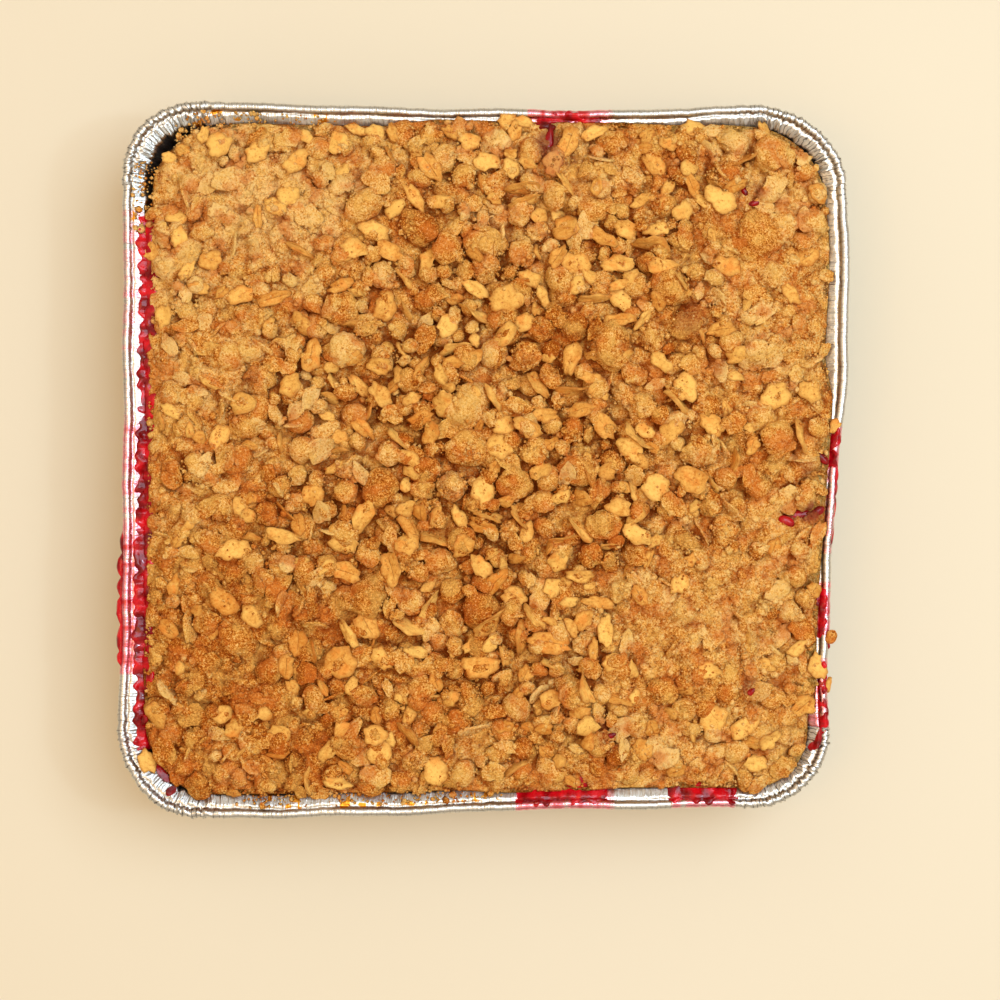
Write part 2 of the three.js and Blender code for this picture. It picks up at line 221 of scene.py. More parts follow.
# Smooth random hills: random heights on a lattice of the given cell size, eased in between.
def hills(u, v, size, seed):
    reach = latticeReach
    count = int(2 * reach / size) + 3
    lattice = np.random.default_rng(seed).uniform(-1, 1, (count, count))
    a, b = (u + reach) / size, (v + reach) / size
    i, j = np.floor(a).astype(int), np.floor(b).astype(int)
    s, t = ease(0, 1, a - i), ease(0, 1, b - j)
    near = mix(lattice[i, j], lattice[i + 1, j], s)
    far = mix(lattice[i, j + 1], lattice[i + 1, j + 1], s)
    return mix(near, far, t)


# Irregular cells about one size across: the distance to the cell's own point, how much further the
# next cell's point is, both in cells, and a random value for each cell.
def cellsAt(u, v, size, seed):
    a = (u + latticeReach) / size + 0.35 * hills(u, v, size * 0.8, seed)
    b = (v + latticeReach) / size + 0.35 * hills(v, u, size * 0.8, seed + 1)
    i, j = np.floor(a), np.floor(b)
    first, second, value = np.full(a.shape, 9.0), np.full(a.shape, 9.0), np.zeros(a.shape)
    for di in (-1, 0, 1):
        for dj in (-1, 0, 1):
            key = (i + di) * 57.0 + (j + dj) * 131.0 + seed
            away = np.hypot(i + di + chance(key, 1) - a, j + dj + chance(key, 2) - b)
            second = np.minimum(second, np.maximum(first, away))
            value = np.where(away < first, chance(key, 3), value)
            first = np.minimum(first, away)
    return first, second - first, value


# Random ripples around the outline: a sum of whole waves with random phase, between about -1 and 1.
def ripples(arc, waves, seed):
    phases = np.random.default_rng(seed).uniform(0, 2 * math.pi, len(waves))
    total = sum(np.cos(2 * math.pi * k * arc / perimeter + p) for k, p in zip(waves, phases))
    return total / math.sqrt(len(waves))


# Folded facets along the outline: each has its own lean, so the surface steps from one to the next.
def facets(arc, spacing, seed):
    count = round(perimeter / spacing)
    phase = arc / perimeter * count + 0.45 * ripples(arc, (31, 47, 71), seed)
    index = np.floor(phase)
    lean = 2 * chance(index % count, seed) - 1
    lift = 2 * chance(index % count, seed + 1) - 1
    return 1.3 * lean * (phase - index - 0.5) + 0.45 * lift


# Makes a mesh object from points in millimetres, faces as rows of point numbers, and named values
# for each point.
def makeMesh(name, points, faces, material, values=None, uv=None):
    mesh = bpy.data.meshes.new(name)
    sizes = np.concatenate([np.full(len(rows), rows.shape[1]) for rows in faces])
    corners = np.concatenate([rows.ravel() for rows in faces])
    mesh.vertices.add(len(points))
    mesh.vertices.foreach_set("co", (np.asarray(points) / 1000).astype(np.float32).ravel())
    mesh.loops.add(len(corners))
    mesh.loops.foreach_set("vertex_index", corners.astype(np.int32))
    mesh.polygons.add(len(sizes))
    mesh.polygons.foreach_set("loop_start", np.concatenate([[0], np.cumsum(sizes)[:-1]]).astype(np.int32))
    mesh.polygons.foreach_set("use_smooth", np.ones(len(sizes), dtype=bool))
    for key, data in (values or {}).items():
        layer = mesh.attributes.new(key, "FLOAT", "POINT")
        layer.data.foreach_set("value", np.asarray(data, dtype=np.float32))
    if uv is not None:
        mesh.uv_layers.new(name="flake").data.foreach_set("uv", uv[corners].astype(np.float32).ravel())
    mesh.update(calc_edges=True)
    mesh.validate()
    mesh.materials.append(material)
    piece = bpy.data.objects.new(name, mesh)
    bpy.context.scene.collection.objects.link(piece)
    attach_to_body(piece, "root")
    return piece


# Faces of a ring of columns, each with the same number of profile points, closed by two fans.
def ringFaces(columns, points):
    i, p = np.meshgrid(np.arange(columns), np.arange(points - 1), indexing="ij")
    a, b = i * points + p, (i + 1) % columns * points + p
    sides = np.stack([a, b, b + 1, a + 1], axis=-1).reshape(-1, 4)
    first = np.arange(columns) * points
    after = np.roll(first, -1)
    under = np.stack([np.full(columns, columns * points), after, first], axis=-1)
    top = np.stack([np.full(columns, columns * points + 1), first, after], axis=-1)
    top[:, 1:] += points - 1
    return [sides, np.concatenate([under, top])]


# Faces of a grid of point numbers, and the numbers around its border.
def gridFaces(number):
    a, b, c, d = number[:-1, :-1], number[1:, :-1], number[1:, 1:], number[:-1, 1:]
    border = [number[:-1, 0], number[-1, :-1], number[:0:-1, -1], number[0, :0:-1]]
    return np.stack([a, b, c, d], axis=-1).reshape(-1, 4), np.concatenate(border)


# Copies of one small template shape, each with its own points, as one piece.
def makeMany(name, points, template, material, values, uv=None):
    count, size = points.shape[:2]
    offsets = (np.arange(count) * size)[:, None, None]
    faces = [(rows[None] + offsets).reshape(-1, rows.shape[1]) for rows in template]
    return makeMesh(name, points.reshape(-1, 3), faces, material, values, uv)


# A wire from one socket. Sums and products of wires and numbers add Math nodes.
class Wire:
    def __init__(self, tree, socket=None):
        self.tree, self.socket = tree, socket

    # Any node: its type, its settings, which go first, and the values or wires of its sockets.
    def node(self, kind, settings=None, inputs=None, output=0):
        made = self.tree.nodes.new(kind)
        for key, value in (settings or {}).items():
            if key == "stops":
                while len(made.color_ramp.elements) < len(value):
                    made.color_ramp.elements.new(0.5)
                for element, (position, colour) in zip(made.color_ramp.elements, value):
                    element.position, element.color = position, colour
            else:
                setattr(made, key, value)
        for key, value in (inputs or {}).items():
            if isinstance(value, Wire):
                self.tree.links.new(value.socket, made.inputs[key])
            else:
                made.inputs[key].default_value = value
        return Wire(self.tree, made.outputs[output])

    def math(self, operation, *values, clamp=False):
        settings = {"operation": operation, "use_clamp": clamp}
        return self.node("ShaderNodeMath", settings, dict(enumerate(values)))

    def __add__(self, other):
        return self.math("ADD", self, other)

    def __sub__(self, other):
        return self.math("SUBTRACT", self, other)

    def __rsub__(self, other):
        return self.math("SUBTRACT", other, self)

    def __mul__(self, other):
        return self.math("MULTIPLY", self, other)

    __radd__, __rmul__ = __add__, __mul__

    # Eased 0 to 1 between two values.
    def between(self, low, high):
        return self.node("ShaderNodeMapRange", {"interpolation_type": "SMOOTHSTEP"},
                         {0: self, 1: low, 2: high, 3: 0.0, 4: 1.0})

    # Two colours mixed by this wire.
    def colours(self, first, second):
        return self.node("ShaderNodeMix", {"data_type": "RGBA"}, {0: self, 6: first, 7: second}, 2)


# Linear colour from the 0 to 255 values that a colour picker shows.
def tint(*shown):
    return *(((c / 255 + 0.055) / 1.055) ** 2.4 if c > 10 else c / 255 / 12.92 for c in shown), 1.0


# Starts a material: constants set on the shader, and a wire on Object coordinates.
def startMaterial(name, constants):
    material = bpy.data.materials.new(name)
    material.use_nodes = True
    shader = material.node_tree.nodes["Principled BSDF"]
    for key, value in constants.items():
        shader.inputs[key].default_value = value
    spot = Wire(material.node_tree).node("ShaderNodeTexCoord", output=3)
    return material, shader, spot


# Joins a wire to one of the shader's sockets.
def attach(shader, socket, wire):
    wire.tree.links.new(wire.socket, shader.inputs[socket])


# Random mottling at a size in millimetres, about 0 to 1.
def mottle(spot, size, detail=2.0, roughness=0.5):
    return spot.node("ShaderNodeTexNoise", None,
                     {"Vector": spot, "Scale": 1000 / size, "Detail": detail, "Roughness": roughness})


# The value of that name that each point carries.
def attribute(spot, name):
    return spot.node("ShaderNodeAttribute", {"attribute_name": name}, output=2)


# Bump from a height that stands for a depth in millimetres, over an earlier one if there is one.
def bump(spot, height, depth, strength=1.0, normal=None):
    inputs = {"Strength": strength, "Distance": depth / 1000, "Height": height}
    if normal is not None:
        inputs["Normal"] = normal
    return spot.node("ShaderNodeBump", None, inputs)


foilLook = {
    "bright": tint(230, 228, 223), "dull": tint(184, 182, 178),
    "pink": tint(240, 150, 165), "red": tint(190, 14, 24), "amber": tint(222, 148, 46),
    "roughness": (0.22, 0.42), "creaseSize": 2.6, "creaseDepth": 0.16, "scratchSize": 0.5,
    "foldSize": 0.7, "foldDepth": 0.38,    # thin folds that run across the rim
    "creaseGap": 1.35, "dark": tint(92, 86, 80),    # painted shade: spacing and colour of the dark lines in the creases where the foil is gathered
    "cloudSize": 14.0,    # patches of dull and bright foil
}


# Thin foil: bright metal, creased in fine bump, with painted shade as dark lines along the gathered
# creases, stained by juice where the attributes say so.
def foilMaterial():
    material, shader, spot = startMaterial("foil", {"Metallic": 1.0, "Coat Roughness": 0.08})
    juice, syrup = attribute(spot, "juice"), attribute(spot, "syrup")
    along, across = attribute(spot, "along"), attribute(spot, "across")
    unrolled = spot.node("ShaderNodeCombineXYZ", None, {0: along, 1: across})
    folds = mottle(unrolled, foilLook["foldSize"], 3.0, 0.6)
    crease = mottle(spot, foilLook["creaseSize"], 3.0, 0.6)
    scratch = mottle(spot, foilLook["scratchSize"], 2.0)
    # Painted shade: dark lines, broken up, along the creases where the foil is gathered.
    wandering = mottle(spot, 3.2, 2.0) * 2.2 + along * (1000 / foilLook["creaseGap"])
    fromMiddle = along.math("ABSOLUTE", along.math("FRACT", wandering) - 0.5)
    broken = attribute(spot, "gathered") * mottle(spot, 1.9).between(0.35, 0.5)
    creaseShade = (1 - fromMiddle.between(0.03, 0.15)) * broken
    clouds = mottle(spot, foilLook["cloudSize"]).colours(foilLook["dull"], foilLook["bright"])
    metalWithCreaseShade = creaseShade.colours(clouds, foilLook["dark"])
    pink = juice.between(0.05, 0.55).colours(metalWithCreaseShade, foilLook["pink"])
    red = juice.between(0.5, 1.0).colours(pink, foilLook["red"])
    attach(shader, "Base Color", syrup.between(0.3, 0.7).colours(red, foilLook["amber"]))
    attach(shader, "Metallic", 1 - juice.between(0.55, 1.0) * 0.6)
    low, high = foilLook["roughness"]
    attach(shader, "Roughness", (crease * (high - low) + low) * (1 - juice * 0.45))
    attach(shader, "Coat Weight", juice.between(0.1, 0.6) * 0.8)
    fine = bump(spot, scratch, 0.012, 0.5)
    folded = bump(spot, folds, foilLook["foldDepth"], 0.8, fine)
    attach(shader, "Normal", bump(spot, crease, foilLook["creaseDepth"], 0.5, folded))
    return material


cherryLook = {
    # The near-black colour is painted shade where the filling lies hidden beside the crust, and darkens the
    # drops.
    "deep": tint(110, 0, 6), "bright": tint(216, 16, 30), "baked": tint(46, 20, 8),
    "roughness": (0.06, 0.26), "blotch": 5.0, "lump": 1.2, "lumpDepth": 0.4,    # sizes in millimetres
}


# Cherry jelly and fruit: deep red with random brighter blotches, partly the jelly's own colour and partly
# painted highlight, wet and uneven, and nearly black where the attribute says: painted shade where the
# filling lies hidden beside the crust, and a darker colour on the drops.
def cherryMaterial():
    material, shader, spot = startMaterial("cherryFilling", {
        "Coat Roughness": 0.05, "Subsurface Weight": 0.25, "Subsurface Scale": 0.003,
        "Subsurface Radius": (1.0, 0.12, 0.08), "IOR": 1.42, "Specular IOR Level": 0.15})
    blotch = mottle(spot, cherryLook["blotch"], 3.0)
    # The brighter red is partly painted highlight.
    red = blotch.between(0.35, 0.68).colours(cherryLook["deep"], cherryLook["bright"])
    attach(shader, "Base Color", attribute(spot, "baked").colours(red, cherryLook["baked"]))
    low, high = cherryLook["roughness"]
    attach(shader, "Roughness", blotch * (high - low) + low)
    attach(shader, "Coat Weight", mottle(spot, 9.0).between(0.2, 0.6) * 0.42)
    lump = mottle(spot, cherryLook["lump"], 3.0)
    attach(shader, "Normal", bump(spot, lump, cherryLook["lumpDepth"], 0.7))
    return material


crumbLook = {
    "stops": ((0.0, tint(252, 206, 128)), (0.3, tint(242, 178, 88)), (0.55, tint(224, 146, 58)),
              (0.8, tint(194, 108, 28)), (1.0, tint(152, 70, 6))),
    # The crevice colour is painted shade, and the sparkle colour a painted glint.
    "creviceShade": tint(146, 58, 0), "paintedGlint": tint(254, 220, 156), "stain": tint(128, 22, 30),
    "orange": tint(216, 116, 42), "yellow": tint(240, 188, 94), "patch": 6.5,
    "cell": 0.85, "cellDepth": 0.22,       # packed crumbs
    "grain": 0.62, "grainDepth": 0.7,     # sugar and flour grains
    "sugar": 0.36, "lump": 2.4, "lumpDepth": 0.5,    # sizes and depths in millimetres
}


# Rounded cells of a size in millimetres: how far from each cell's middle, and a random value a cell.
def cells(spot, size):
    texture = {"Vector": spot, "Scale": 1000 / size}
    colour = spot.node("ShaderNodeTexVoronoi", None, texture, 1)
    distance = Wire(spot.tree, colour.socket.node.outputs[0])
    return distance, spot.node("ShaderNodeSeparateColor", None, {0: colour})


# The values that each point of the topping carries.
def pointValues(spot):
    return (attribute(spot, key) for key in ("toast", "stain", "tone", "hollow"))


# Baked crumb: a sandy grain over packed cells, around the piece's toast value, with painted shade in the
# hollows, at the cells' borders and between low grains, a painted glint on the high grains, and purple
# where cherry juice soaked in.
def crumbMaterial():
    material, shader, spot = startMaterial("crumb", {"IOR": 1.45, "Specular IOR Level": 0.12})
    toast, stain, tone, hollow = pointValues(spot)
    gap, cellTone = cells(spot, crumbLook["cell"])
    grain = mottle(spot, crumbLook["grain"], 5.0, 0.72)
    sugar = mottle(spot, crumbLook["sugar"], 2.0)
    patch = mottle(spot, crumbLook["patch"], 3.0)
    lump = mottle(spot, crumbLook["lump"], 3.0)
    level = toast + (lump - 0.5) * 0.8 + (tone - 0.5) * 0.25 + (cellTone - 0.5) * 0.16
    level = level - (grain - 0.5) * 2.4 - (sugar - 0.5) * 1.8
    body = level.node("ShaderNodeValToRGB", {"stops": crumbLook["stops"]}, {0: level})
    warm = (patch.between(0.5, 0.64) * 0.6).colours(body, crumbLook["orange"])
    varied = ((1 - patch).between(0.5, 0.64) * 0.45).colours(warm, crumbLook["yellow"])
    # Painted shade: darker at the borders of the packed cells, between low grains and in the hollows.
    shade = gap.between(0.5, 0.95) * 0.2 + (1 - grain).between(0.56, 0.72) * 0.3
    darkened = shade.math("ADD", shade, hollow * 0.76, clamp=True).colours(varied, crumbLook["creviceShade"])
    # Painted highlight: pale glints on the high grains, none in the hollows.
    lit = (grain.between(0.58, 0.7) * (1 - hollow) * 0.62).colours(darkened, crumbLook["paintedGlint"])
    attach(shader, "Base Color", (stain * 0.8).colours(lit, crumbLook["stain"]))
    attach(shader, "Roughness", 0.9 - stain * 0.4)
    packed = bump(spot, 1 - gap, crumbLook["cellDepth"], 0.7)
    sandy = bump(spot, grain, crumbLook["grainDepth"], 1.0, packed)
    attach(shader, "Normal", bump(spot, lump, crumbLook["lumpDepth"], 0.6, sandy))
    return material


flakeLook = {
    # The edge colour browns the rim, and also paints shade in the crease and the hollows.
    "pale": tint(244, 192, 98), "gold": tint(206, 128, 42), "edge": tint(150, 72, 8),
    "blush": tint(232, 138, 50), "stain": tint(168, 70, 70),
    "fibre": (1.5, 12.0, 1.0), "fibreDepth": 0.22,    # fibres for each half length and half width
    "dust": 0.9, "dustDepth": 0.36,
}


# Oat flake: pale to golden, browner at the rim, some creased down the middle, with faint fibres
# along it and a dusting of crumb, and painted shade in the crease and in the hollows.
def flakeMaterial():
    material, shader, spot = startMaterial("oatFlake", {"IOR": 1.45, "Specular IOR Level": 0.22})
    toast, stain, tone, hollow = pointValues(spot)
    shape = spot.node("ShaderNodeUVMap", {"uv_map": "flake"})
    across = shape.node("ShaderNodeSeparateXYZ", None, {0: shape}, 1)
    out = shape.node("ShaderNodeVectorMath", {"operation": "LENGTH"}, {0: shape}, 1)
    stretched = {0: shape, 1: flakeLook["fibre"]}
    fibre = mottle(shape.node("ShaderNodeVectorMath", {"operation": "MULTIPLY"}, stretched), 1000.0)
    dust = mottle(spot, flakeLook["dust"], 5.0, 0.7)
    level = tone * 0.9 + toast * 0.6 + (mottle(spot, 2.6, 3.0) - 0.5) * 1.4 - (dust - 0.5) * 2.4
    body = level.between(-0.1, 1.6).colours(flakeLook["pale"], flakeLook["gold"])
    blushed = (mottle(spot, 4.2).between(0.55, 0.7) * 0.5).colours(body, flakeLook["blush"])
    bent = across + (mottle(spot, 5.0) - 0.5) * 0.3
    crease = (1 - across.math("ABSOLUTE", bent).between(0.0, 0.08)) * (1 - out.between(0.4, 0.9))
    crease = crease * tone.between(0.6, 0.7)
    # The rim's browning is the flake's own; the darkening in the crease and the hollows is painted shade.
    rimBrowningAndShade = out.between(0.6, 1.05) * mottle(spot, 1.8).between(0.3, 0.55) * 0.6 + crease * 0.45
    rimBrowningAndShade = rimBrowningAndShade.math("ADD", rimBrowningAndShade, hollow * 0.75 + (1 - dust).between(0.54, 0.66) * 0.32, clamp=True)
    rimmedAndShaded = rimBrowningAndShade.colours(blushed, flakeLook["edge"])
    attach(shader, "Base Color", (stain * 0.8).colours(rimmedAndShaded, flakeLook["stain"]))
    attach(shader, "Roughness", 0.74 - fibre * 0.2)
    coarse = bump(spot, fibre - crease, flakeLook["fibreDepth"], 0.7)
    attach(shader, "Normal", bump(spot, dust, flakeLook["dustDepth"], 0.8, coarse))
    return material


foil, cherry, crumb, oat = foilMaterial(), cherryMaterial(), crumbMaterial(), flakeMaterial()
print("materials made")

# Where juice has boiled over the rim: side, from and to along it, where it starts and ends across
# the rim's section, from 0 inside to 12 low on the outer wall, its depth, and how red the foil
# beside it is.
juicePatches = [
    ("left", 51, 69, 0.0, 2.9, 0.9, 0.35), ("left", 32, 52, 0.0, 2.6, 0.7, 0.35),
    ("left", 12, 33, 0.0, 2.8, 0.8, 0.2), ("left", -10, 13, 0.0, 3.3, 1.0, 0.6),
    ("left", -20, -9, 0.0, 3.1, 0.8, 0.4), ("left", -61, -19, 0.0, 3.7, 1.1, 0.85),
    ("left", -61, -20, 6.9, 10.6, 1.35, 0.85), ("left", -84, -60, 0.0, 3.0, 0.8, 0.1),
    ("back", 15, 34, 0.0, 7.0, 0.6, 1.0), ("right", -3, 9, 1.0, 7.6, 0.6, 0.8),
    ("right", -27, -2, 6.6, 9.6, 0.45, 0.4), ("right", -52, -37, 2.0, 8.0, 0.7, 0.8),
    ("right", -79, -56, 3.4, 7.4, 0.7, 0.6), ("front", 10, 37, 0.0, 6.6, 0.8, 0.8),
    ("front", 54, 74, 0.0, 6.4, 0.8, 0.6),
]


# How red the foil is: soft-ended and ragged along the patches, most on the bead.
def juiceAt(arc, inset):
    red = np.zeros_like(arc * inset)
    ragged = arc + 1.5 * ripples(arc, (53, 83, 127, 211), 5)
    for side, start, end, inner, outer, depth, wash in juicePatches:
        first, last = sorted((arcOf(side, start), arcOf(side, end)))
        begun, over = ease(first - 2, first + 2, ragged), ease(last - 2, last + 2, ragged)
        red = np.maximum(red, wash * begun * (1 - over))
    return red * (1 - ease(4.0, 9.0, inset))


trayMesh = {
    "sideSteps": 270, "cornerSteps": 116,
    "pleat": 1.4, "pleatDepth": 1.2,     # folds at the corners
    "crimp": 1.7, "crimpDepth": 0.42,      # crimps along the sides
    "nick": 3.0, "nickDepth": 0.17,        # marks across the bead
    "tuck": 1.2, "tuckDepth": 0.6,        # and the tighter ones that the corners' folds leave on it
    "wander": 0.35,                        # unevenness of the outline
    "panel": (34.0, 0.7),                  # inset and height of the raised panel under the base
}


# The tray's section from the middle of the underside out, up, round the bead, and down the inside.
def trayProfile():
    (grooveIn, grooveUp), (shoulderIn, shoulderUp) = tray["groove"], tray["shoulder"]
    thick, bead = tray["foil"], tray["bead"]
    wallEnd = shoulderIn + tray["lean"] * (shoulderUp - 5)
    panelIn, panelUp = trayMesh["panel"]
    turn = np.radians(np.linspace(-120, 160, 15))
    wall = np.linspace(0, 1, 9)[:, None]
    lowOut, highOut = np.array([wallEnd - thick, 5.0]), np.array([shoulderIn - thick, shoulderUp + 0.2])
    lowIn, highIn = lowOut + (thick, 0), highOut + (thick, -0.2)
    shoulderOut = np.array([grooveIn - 0.1, grooveUp - 0.7])
    step = np.linspace(0, 1, 5)[1:, None]
    return np.concatenate([
        [(panelIn + 8, panelUp), (panelIn + 3, panelUp), (panelIn, 0.1), (panelIn - 2, 0.0)],
        [(wallEnd + 4.2, 0.0), (wallEnd + 2.4, 0.2), (wallEnd + 1.0, 0.95), (wallEnd + 0.1, 2.4)],
        mix(lowOut, highOut, wall),
        mix(highOut, shoulderOut, step),
        np.stack([bead - bead * np.cos(turn), tray["rim"] - bead + bead * np.sin(turn)], axis=-1),
        [(grooveIn - 0.05, grooveUp + 0.1), (grooveIn + 0.35, grooveUp)],
        mix(np.array([grooveIn + 0.7, grooveUp + 0.15]), highIn, np.linspace(0, 1, 7)[:, None]),
        mix(highIn, lowIn, wall[1:]),
        [(wallEnd + 0.6, 2.9), (wallEnd + 1.7, 1.4), (wallEnd + 4.2, thick)],
        [(panelIn - 2, thick), (panelIn, thick + 0.1), (panelIn + 3, panelUp + thick)],
    ])


# Slow waves of the foil along the rim, in millimetres inwards.
def foilWander(arc):
    return trayMesh["wander"] * ripples(arc, (5, 9, 14, 23), 3)


# The tray: its section carried round the outline, and moved inwards by pleats in the corners, crimps
# along the sides, marks across the bead and slow waves, all growing with height.
def makeTray():
    columns = outline(trayMesh["sideSteps"], trayMesh["cornerSteps"])
    profile = trayProfile()
    inset, z = (np.broadcast_to(profile[:, k], (len(columns["u"]), len(profile))).copy() for k in (0, 1))
    arc, corner = columns["arc"], columns["corner"]
    onBead = ease(tray["rim"] - 2.9, tray["rim"] - 1.6, z) * (inset < tray["groove"][0])
    upWall = ease(2.0, tray["shoulder"][1], z)
    pleat = facets(arc + 0.12 * (tray["rim"] - z), trayMesh["pleat"], 11) * corner * trayMesh["pleatDepth"]
    crimp = facets(arc, trayMesh["crimp"], 23) * (1 - corner) * trayMesh["crimpDepth"]
    nick = facets(arc, trayMesh["nick"], 37) * trayMesh["nickDepth"]
    wander = foilWander(arc)
    high = upWall ** 1.5
    inset += (1 - onBead) * (pleat * high + crimp * ease(30, 36, z)) + wander * upWall ** 2
    tuck = facets(arc + 0.5 * inset, trayMesh["tuck"], 47) * (0.15 + 0.85 * corner) * trayMesh["tuckDepth"]
    inset += onBead * (nick + tuck)
    z = z + onBead * (0.25 * ripples(arc, (7, 12, 19, 40), 9) + 0.5 * nick + 0.6 * tuck)
    u, v = inwards(columns, inset)
    blot = 0.5 + 0.5 * ripples(arc, (97, 141, 203, 305), 15)
    juice = juiceAt(arc, inset) * (0.45 + 0.6 * blot) * ease(12, 36, z + 10 * blot)
    syrup = (hills(u, v, 1.7, 51) > 0.54) * (z > 37) * (inset > tray["groove"][0]) * amberAt(u, v)
    middles = place(np.zeros(2), np.zeros(2), profile[[0, -1], 1])
    points = np.concatenate([place(u, v, z).reshape(-1, 3), middles])
    steps = np.append(0, np.cumsum(np.hypot(*np.diff(profile, axis=0).T)))
    along, across = (np.broadcast_to(row, u.shape) / 1000 for row in (arc, 0.12 * steps[None]))
    # Where the foil is gathered: the mask for the painted crease shade.
    gathered = (0.3 + 0.65 * corner) * ease(33, 37, z) * (inset < 9)
    values = {"juice": juice, "syrup": syrup, "along": along, "across": across, "gathered": gathered}
    values = {key: np.append(data.ravel(), (0, 0)) for key, data in values.items()}
    piece = makeMesh("foilTray", points, ringFaces(len(u), len(profile)), foil, values)
    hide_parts("foil_tray")


# Where baked syrup has spotted the foil inside the rim: along the back and front sides, on the left.
def amberAt(u, v):
    back = (v > 80) * ease(-92, -80, u) * (1 - ease(-48, -36, u))
    front = (v < -80) * ease(-72, -60, u) * (1 - ease(0, 12, u))
    corner = np.exp(-((u + 93) ** 2 + (v - 73) ** 2) / 90) > 0.3
    return np.clip(back + front + corner, 0, 1)


# How far in from the outline the foil's inner face is at a height.
def foilInset(z):
    (grooveIn, grooveUp), (shoulderIn, shoulderUp) = tray["groove"], tray["shoulder"]
    wall = shoulderIn + tray["lean"] * (shoulderUp - z)
    flare = mix(shoulderIn, grooveIn + 0.7, (z - shoulderUp) / (grooveUp - shoulderUp))
    return np.where(z < shoulderUp, wall, np.maximum(flare, grooveIn))


filling = {
    "sideSteps": 190, "cornerSteps": 50,
    "low": 30.6, "high": 39.0,   # level beside the crust where it is hidden, and where it shows
    "bottom": 1.2, "middle": 30.0, "runIn": 8.0,   # heights at the centre, and how far the edge runs in
    "ripple": 0.8,
}


# The filling: a slab inside the foil, rising to its level at the edge and running in under the
# crust, with a lumpy wet surface.
def makeFilling():
    columns = outline(filling["sideSteps"], filling["cornerSteps"])
    shown = edgeAt(columns["u"], columns["v"])[1]
    level = mix(filling["low"], filling["high"], ease(0.6, 0.95, shown))
    rise = np.array([0.0, 0.15, 0.4, 0.6, 0.8, 0.9, 1.0])
    wallZ = filling["bottom"] + rise * (level - filling["bottom"])
    clear = 0.4 + 1.6 * columns["corner"] + foilWander(columns["arc"])
    wallIn = foilInset(wallZ) + clear * ease(2, 30, wallZ) + 0.15 + 4.0 * (rise == 0)
    across = np.linspace(0.0, 1.0, 16)
    topIn = foilInset(level) + 0.15 + clear + across * filling["runIn"]
    topZ = level + 0.9 * np.sin(np.pi * np.clip(across * 1.6, 0, 1)) - 2.0 * ease(0.6, 1.0, across)
    lastIn, lastZ = topIn[:, -1:] + 1, np.full_like(level, filling["middle"])
    inset = np.concatenate([wallIn, topIn[:, 1:], lastIn], axis=1)
    z = np.concatenate([wallZ, topZ[:, 1:], lastZ], axis=1)
    u, v = inwards(columns, inset)
    top = np.concatenate([rise * 0, np.ones(15), [0]])[None]
    lumps = 0.9 * hills(u, v, 3.1, 61) + 0.6 * hills(u, v, 1.5, 62)
    z = z + top * filling["ripple"] * lumps
    z = np.where(top > 0, np.maximum(z, rimHeight(inset - clear) + 0.15), z)
    middles = place(np.zeros(2), np.zeros(2), np.array([filling["bottom"], filling["middle"]]))
    points = np.concatenate([place(u, v, z).reshape(-1, 3), middles])
    # Painted shade: near-black where the filling lies hidden in the gap beside the crust.
    baked = np.append(np.broadcast_to(1 - ease(0.3, 0.8, shown), u.shape).ravel(), (0, 0))
    piece = makeMesh("cherryFilling", points, ringFaces(*u.shape), cherry, {"baked": baked})
    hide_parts("cherry_filling")


# Patches where the topping is fine and sandy, with few nuggets: u, v, radius.
sandyPatches = [(-62, 66, 30), (88, 42, 24), (62, -46, 34), (-74, 30, 16)]


# How sandy the topping is, from 0 to 1: the highest of the patches' cones, cut off flat.
def sandiness(u, v):
    nearness = [1 - np.hypot(u - a, v - b) / radius for a, b, radius in sandyPatches]
    return np.clip(1.6 * np.maximum.reduce([np.zeros_like(u * 1.0), *nearness]), 0, 1)


# How much the nuggets crowd: most in the broad middle, least in the sandy patches.
def crowding(u, v):
    middle = np.exp(-(((u + 2) / 64) ** 2 + ((v - 4) / 84) ** 2) ** 2)
    return (0.34 + 0.66 * middle) * (1 - sandiness(u, v))


# Height of the crust: a domed edge, then low rolling relief.
def crustHeight(u, v):
    inside = np.maximum(0, roomAt(u, v))
    relief = (0.9 * np.sin(u / 13 + 1.3) * np.cos(v / 17 - 0.4) + 0.6 * np.sin((u + v) / 8.3)
              + 0.5 * np.sin(u / 5.7 - v / 6.9))
    dome = crust["crown"] * (1 - np.exp(-inside / crust["crownRun"]))
    return crust["edgeHeight"] + dome + relief * np.clip(inside / crust["reliefRamp"], 0, 1)


relief = {
    "clumps": ((8.5, 1.5, 1.2, 308), (3.6, 0.6, 0.55, 304)),    # size, lift, depth of the cracks, seed
    "domes": ((900, 1.6, 3.6), (5200, 0.7, 1.5)),    # how many, and radius from and to
    "split": (91, -15.5, 7.5, 2.3, 4.5),    # u, v, length, width and depth
}

# Soft areas of colour: u, v, radius, and how much each adds to the toast of the crumb.
toastAreas = [(-10, 25, 55, 0.10), (-60, 72, 34, -0.32), (88, 40, 22, -0.02), (60, -45, 36, -0.07),
              (-68, -64, 36, 0.34), (10, 75, 26, -0.12), (25, 5, 34, 0.12), (-20, -70, 30, 0.08)]
# Where juice has soaked into the crumb: u, v, radius, and how much.
stainSpots = [
    (58.7, 38.6, 6.0, 0.5), (76.5, 74.3, 4.0, 0.7), (-33.7, 78.5, 5.0, 0.3), (36.7, -77.7, 4.5, 0.5),
    (77.5, -65.0, 3.5, 0.6), (94.0, -15.5, 4.5, 1.0), (88.0, -16.0, 3.0, 1.0), (-64.6, 20.8, 4.0, 0.3),
    (19.0, 90.0, 6.0, 0.9), (21.0, 84.0, 3.5, 0.6), (92.5, -3.0, 3.5, 0.7),
]


